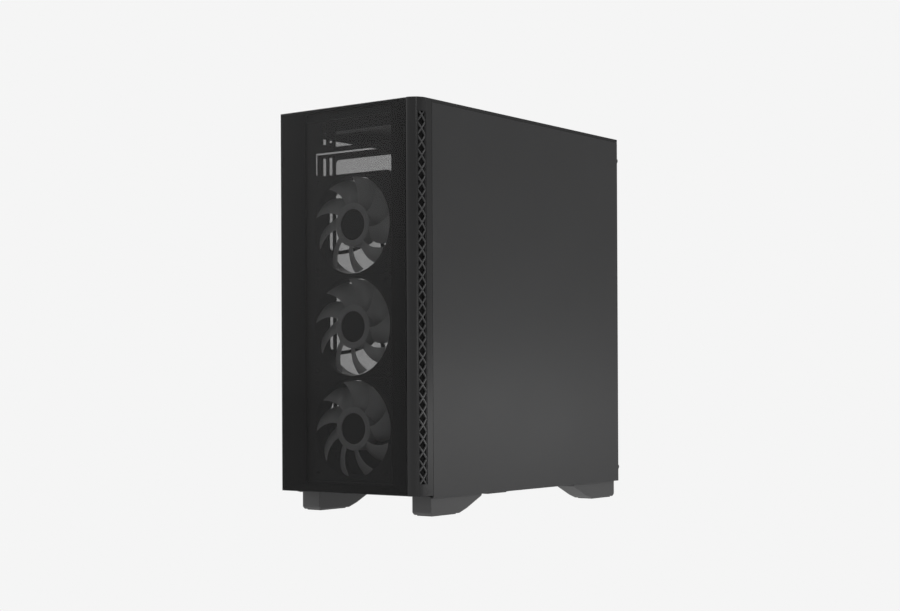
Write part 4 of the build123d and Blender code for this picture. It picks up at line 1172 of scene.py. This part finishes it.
def crossed_screw(head, height, shank, length):
    """A pan-head screw with a cross recess; its head stands on Z = 0 and its shank goes down."""
    bm = bmesh.new()
    count = 32

    def loop(radius, z, cross=False):
        made = []
        for i in range(count):
            turn = 2 * pi * i / count
            off_axis = abs((degrees(turn) + 45) % 90 - 45)
            reach = radius * (1.0 if not cross or off_axis < 14 else 0.36)
            made.append(bm.verts.new((reach * cos(turn) * MM, reach * sin(turn) * MM, z * MM)))
        return made
    loops = [loop(shank * 0.6, -length), loop(shank, -length + 0.8), loop(shank, 0), loop(head, 0),
             loop(head, height * 0.45), loop(head * 0.88, height * 0.85), loop(head * 0.7, height),
             loop(head * 0.55, height, True), loop(head * 0.42, height * 0.35, True)]
    for now, after in zip(loops, loops[1:]):
        for i in range(count):
            j = (i + 1) % count
            bm.faces.new((now[i], now[j], after[j], after[i]))
    bm.faces.new(reversed(loops[0]))
    bm.faces.new(loops[-1])
    bmesh.ops.recalc_face_normals(bm, faces=bm.faces)
    return as_mesh(bm, "crossed_screw", 30)


def add_crossed_screws():
    """Every small screw: the fans', the board's, the card slots' and the power supply's."""
    for node, heights in (("front_fan_screws", (101, 221, 341)), ("rear_fan_screws", (400,))):
        low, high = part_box(node)
        middle_x = (low.x + high.x) / 2
        places = [(middle_x + dx * MM, high.y - 2 * MM, (z + dz) * MM)
                  for z in heights for dx in (-52.5, 52.5) for dz in (-52.5, 52.5)]
        mesh = copies(crossed_screw(4, 2, 2.05, 8.5), places, (0, 1, 0), SCREW_BLACK, 2 * pi)
        add_piece(node + "_crossed", mesh, body_of(node), node)
    low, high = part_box("board_screws")
    places = [(low.x + 2 * MM, y, z) for y in (low.y + 3.1 * MM, depth(268), high.y - 3.1 * MM)
              for z in (low.z + 3.1 * MM, 0.295, high.z - 3.1 * MM)]
    mesh = copies(crossed_screw(3.1, 2, 1.55, 5.5), places, (-1, 0, 0), SCREW_BRIGHT, 2 * pi)
    add_piece("board_screws_crossed", mesh, body_of("board_screws"), "board_screws")
    slots = [(-0.048, depth(427), (288 - 20.32 * k) * MM) for k in range(7)]
    card = copies(crossed_screw(3.2, 2.4, 1.45, 5), slots, (-1, 0, 0), SCREW_BLACK, 2 * pi)
    supply = [(x * MM, depth(435.8), z * MM) for x in (-66.5, 72.5) for z in (36, 103)]
    power = copies(crossed_screw(3.2, 2, 1.55, 6), supply, (0, 1, 0), SCREW_BLACK, 2 * pi)
    add_piece("rear_screws_crossed", merged("rear_screws_crossed", (card, SCREW_BLACK),
                                            (power, SCREW_BLACK)),
              body_of("rear_screws"), "rear_screws")


def thumbscrew(head):
    """A knurled thumbscrew: a grooved head with a dished top, standing on Z = 0."""
    core = lathe("thumb_core", [(0, -8), (1.4, -8), (1.72, -7.4), (1.72, 0), (3.6, 0), (3.9, 0.3),
                                (3.9, head - 0.7),
                                (3.3, head), (2.2, head), (1.9, head - 0.5), (0, head - 0.5)], 48)
    ridge = rounded_box("thumb_ridge", (3.7, 4.18), (-0.2, 0.2), (0.35, head - 0.75), 0.08, 1)
    return merged("thumbscrew", (core, SCREW_BLACK), (ring(ridge, 28, 0, SCREW_BLACK), SCREW_BLACK))


def add_thumbscrews():
    """The two knurled screws at the back of each side."""
    for node in ("panel_thumbscrews", "glass_thumbscrews"):
        low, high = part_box(node)
        head = (high.y - low.y) / MM - 8
        places = [((low.x + high.x) / 2, high.y - head * MM, z) for z in (low.z + 4.2 * MM,
                                                                          high.z - 4.2 * MM)]
        add_piece(node + "_knurled", copies(thumbscrew(head), places, (0, 1, 0), SCREW_BLACK, 1.0),
                  body_of(node),
                  node)


add_crossed_screws()
add_thumbscrews()


# Filters

def add_filters():
    """Woven meshes in the roof filter and in the filter under the power supply."""
    for node, pitch in (("top_filter_mesh", 1.6), ("psu_filter_mesh", 1.4)):
        low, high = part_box(node)
        centre, size = (low + high) / 2, high - low
        blank = bpy.data.meshes.new(node + "_woven")
        sheet = grown(WOVEN_SHEET, blank, Centre=(0, centre.y, centre.x), Width=size.y - 0.0002,
                      Height=size.x - 0.0002, Pitch=pitch * MM, Wire=0.28 * MM, Bends=2,
                      Centre_X=-10 * MM,
                      Centre_Y=-1.0, Radius=10 * MM, Material=MESH_BLACK)
        flat = Matrix(((0, 0, 1, 0), (0, 1, 0, 0), (1, 0, 0, centre.z), (0, 0, 0, 1)))
        add_piece(node + "_woven", placed(sheet, flat), body_of(node), node)
    rounded_node("psu_filter_frame", COVER_BLACK, 0.0004, 2)


add_filters()


# Pressed steel, controls and ports

def add_steelwork():
    """Folded sheet, trays, covers, buttons and the port carrier, all with broken edges."""
    for node in ("rear_plate", "slot_covers", "glass_frame", "psu_shroud", "drive_cage",
                 "drive_tray_upper",
                 "drive_tray_lower"):
        rounded_node(node, CHASSIS_STEEL, 0.0002, 2)
    rounded_node("psu_case", CHASSIS_STEEL, 0.0003, 2)
    rounded_node("board_standoffs", BRASS, 0.0003, 2)
    rounded_node("io_shield", SCREW_BRIGHT, 0.0002, 2)
    rounded_node("power_button", BEZEL_BLACK, 0.0002, 2)
    rounded_node("reset_button", BEZEL_BLACK, 0.0002, 2)
    rounded_node("bezel_studs", BEZEL_BLACK, 0.0003, 2)
    rounded_node("port_block", CONNECTOR, 0.0002, 2, others=(SCREW_BRIGHT,),
                 choose=lambda place: 1 if place.z > 475.2 and place.x < 0 else 0)
    rounded_node("psu_inlet", CONNECTOR, 0.0002, 2, others=(BRASS,), choose=inlet_metal)
    rounded_node("psu_switch", CONNECTOR, 0.0002, 2)
    rounded_node("hard_drive", DRIVE_METAL, 0.0008, 3)
    rounded_node("solid_state_drive", DRIVE_METAL, 0.0005, 3)


def inlet_metal(place):
    """1 on the power inlet's three pins, 0 on its moulding."""
    x, z = place.x - 43.5, place.z - 50
    return 1 if any(abs(x - dx) < 1.2 and abs(z - dz) < 2.2 for dx,
                    dz in ((-7, -2), (7, -2), (0, 2))) else 0


add_steelwork()


# Electronics

BOARD_PLANE = 74.0                      # the board's face, in millimetres across
COOLER_DEPTH = 347                      # the processor, cooler and card fan, behind the front
COOLER_HEIGHT = 400
FIN_COUNT, FIN_PITCH = 47, 2.4


def board_material(place):
    """Which finish a face of the board's parts takes: plastic, bright steel or aluminium."""
    away = place.y - FRONT / MM
    if away > 409:
        return 1
    rear_sink = 381 < away < 405 and place.z > 344
    upper_sink = 324 < away < 373 and place.z > 433
    lower_sink = 239 < away < 301 and place.z < 231
    return 2 if rear_sink or upper_sink or lower_sink else 0


def capacitor():
    """A can capacitor with a rolled neck and a scored top, standing on Z = 0."""
    return lathe("capacitor", [(0, 0), (2.3, 0), (2.5, 0.3), (2.5, 0.8), (2.25, 1.1), (2.5, 1.4),
                               (2.5, 7.2),
                               (2.2, 7.6), (1.6, 7.5), (0, 7.35)], 20)


def add_board():
    """The mainboard, its parts and the memory."""
    rounded_node("mainboard", BOARD_MASK, 0.0002, 2)
    rounded_node("board_parts", CONNECTOR, 0.0003, 2, others=(SCREW_BRIGHT, FINS),
                 choose=board_material)
    rounded_node("memory_modules", HEAT_SPREADER, 0.0006, 3, others=(BOARD_MASK,),
                 choose=lambda place: 1 if place.x > 66.1 else 0)
    places = [(BOARD_PLANE * MM, depth(377), z * MM) for z in range(352, 430, 11)]
    cans = copies(capacitor(), places, (-1, 0, 0), DRIVE_METAL, 0.0)
    piece = add_piece("board_capacitors", cans, body_of("board_parts"))


def cooling_fin():
    """One thin fin with rounded corners and a row of scallops down each long edge."""
    outline = []
    for i in range(49):
        z = -59.5 + 119 * i / 48
        outline.append((49.6 - 1.1 * abs(sin(pi * i / 8)), z))
    for i in range(48, -1, -1):
        outline.append((0.4 + 1.1 * abs(sin(pi * i / 8)), -59.5 + 119 * i / 48))
    fin = plate("cooling_fin", [outline], 0, 0.4, 0.05)
    return placed(fin, Matrix(((0, 0, 1, 0), (1, 0, 0, 0), (0, 1, 0, 0), (0, 0, 0, 1))))


def add_cooler():
    """The tower cooler: a stack of thin fins on four heat pipes over a contact block."""
    fins = row(cooling_fin(), FIN_COUNT, (FIN_PITCH, 0, 0), FINS)
    origin = (-76, depth(320) / MM, COOLER_HEIGHT)
    fins = placed(fins, Matrix.Translation(Vector(origin) * MM))
    pipes = []
    pipe = lathe("heat_pipe", [(0, 0), (1.4, 0), (2.4, 0.6), (2.95, 2.2), (2.95, 140), (0, 140)], 24)
    for dy in (-13, 13):
        for dz in (-15, 15):
            place = Matrix(((0, 0, 1, -0.08), (1, 0, 0, depth(COOLER_DEPTH + dy)),
                            (0, 1, 0, (COOLER_HEIGHT + dz) * MM), (0, 0, 0, 1)))
            pipes.append((placed(pipe.copy(), place), FINS))
    y = depth(COOLER_DEPTH) / MM
    block = rounded_box("contact_block", (58, BOARD_PLANE - 6), (y - 22, y + 22), (378, 422), 0.8)
    add_piece("cooler_stack", merged("cooler_stack", (fins, FINS), (block, FINS), *pipes),
              body_of("cooler_heatsink"), "cooler_heatsink")


def add_card():
    """The graphics card: bright bracket, dark board, moulded housing and its fan."""
    rounded_node("graphics_board", BOARD_MASK, 0.0002, 2, others=(SCREW_BRIGHT,),
                 choose=lambda place: 1 if place.y - FRONT / MM > 433.3 or place.x < -46.5 else 0)
    rounded_node("graphics_shroud", COVER_BLACK, 0.0008, 3)
    blades = rotor("graphics_rotor_blades", 42.8, 18, 13, (15, 24), (34, 24), 0, 13)
    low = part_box("graphics_rotor")[0]
    place = Matrix.Translation((0.011, depth(COOLER_DEPTH), low.z))
    add_piece("graphics_rotor_blades", placed(blades, place), body_of("graphics_rotor"),
              "graphics_rotor")


def add_supply_fan():
    """The power supply's fan, which faces the floor."""
    blades = rotor("psu_rotor_blades", 55, 20, 16, (20, 29), (36, 25), 10, 15)
    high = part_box("psu_rotor")[1]
    place = Matrix(((1, 0, 0, 0.003), (0, -1, 0, depth(365)), (0, 0, -1, high.z), (0, 0, 0, 1)))
    add_piece("psu_rotor_blades", placed(blades, place), body_of("psu_rotor"), "psu_rotor")


add_board()
add_cooler()
add_card()
add_supply_fan()
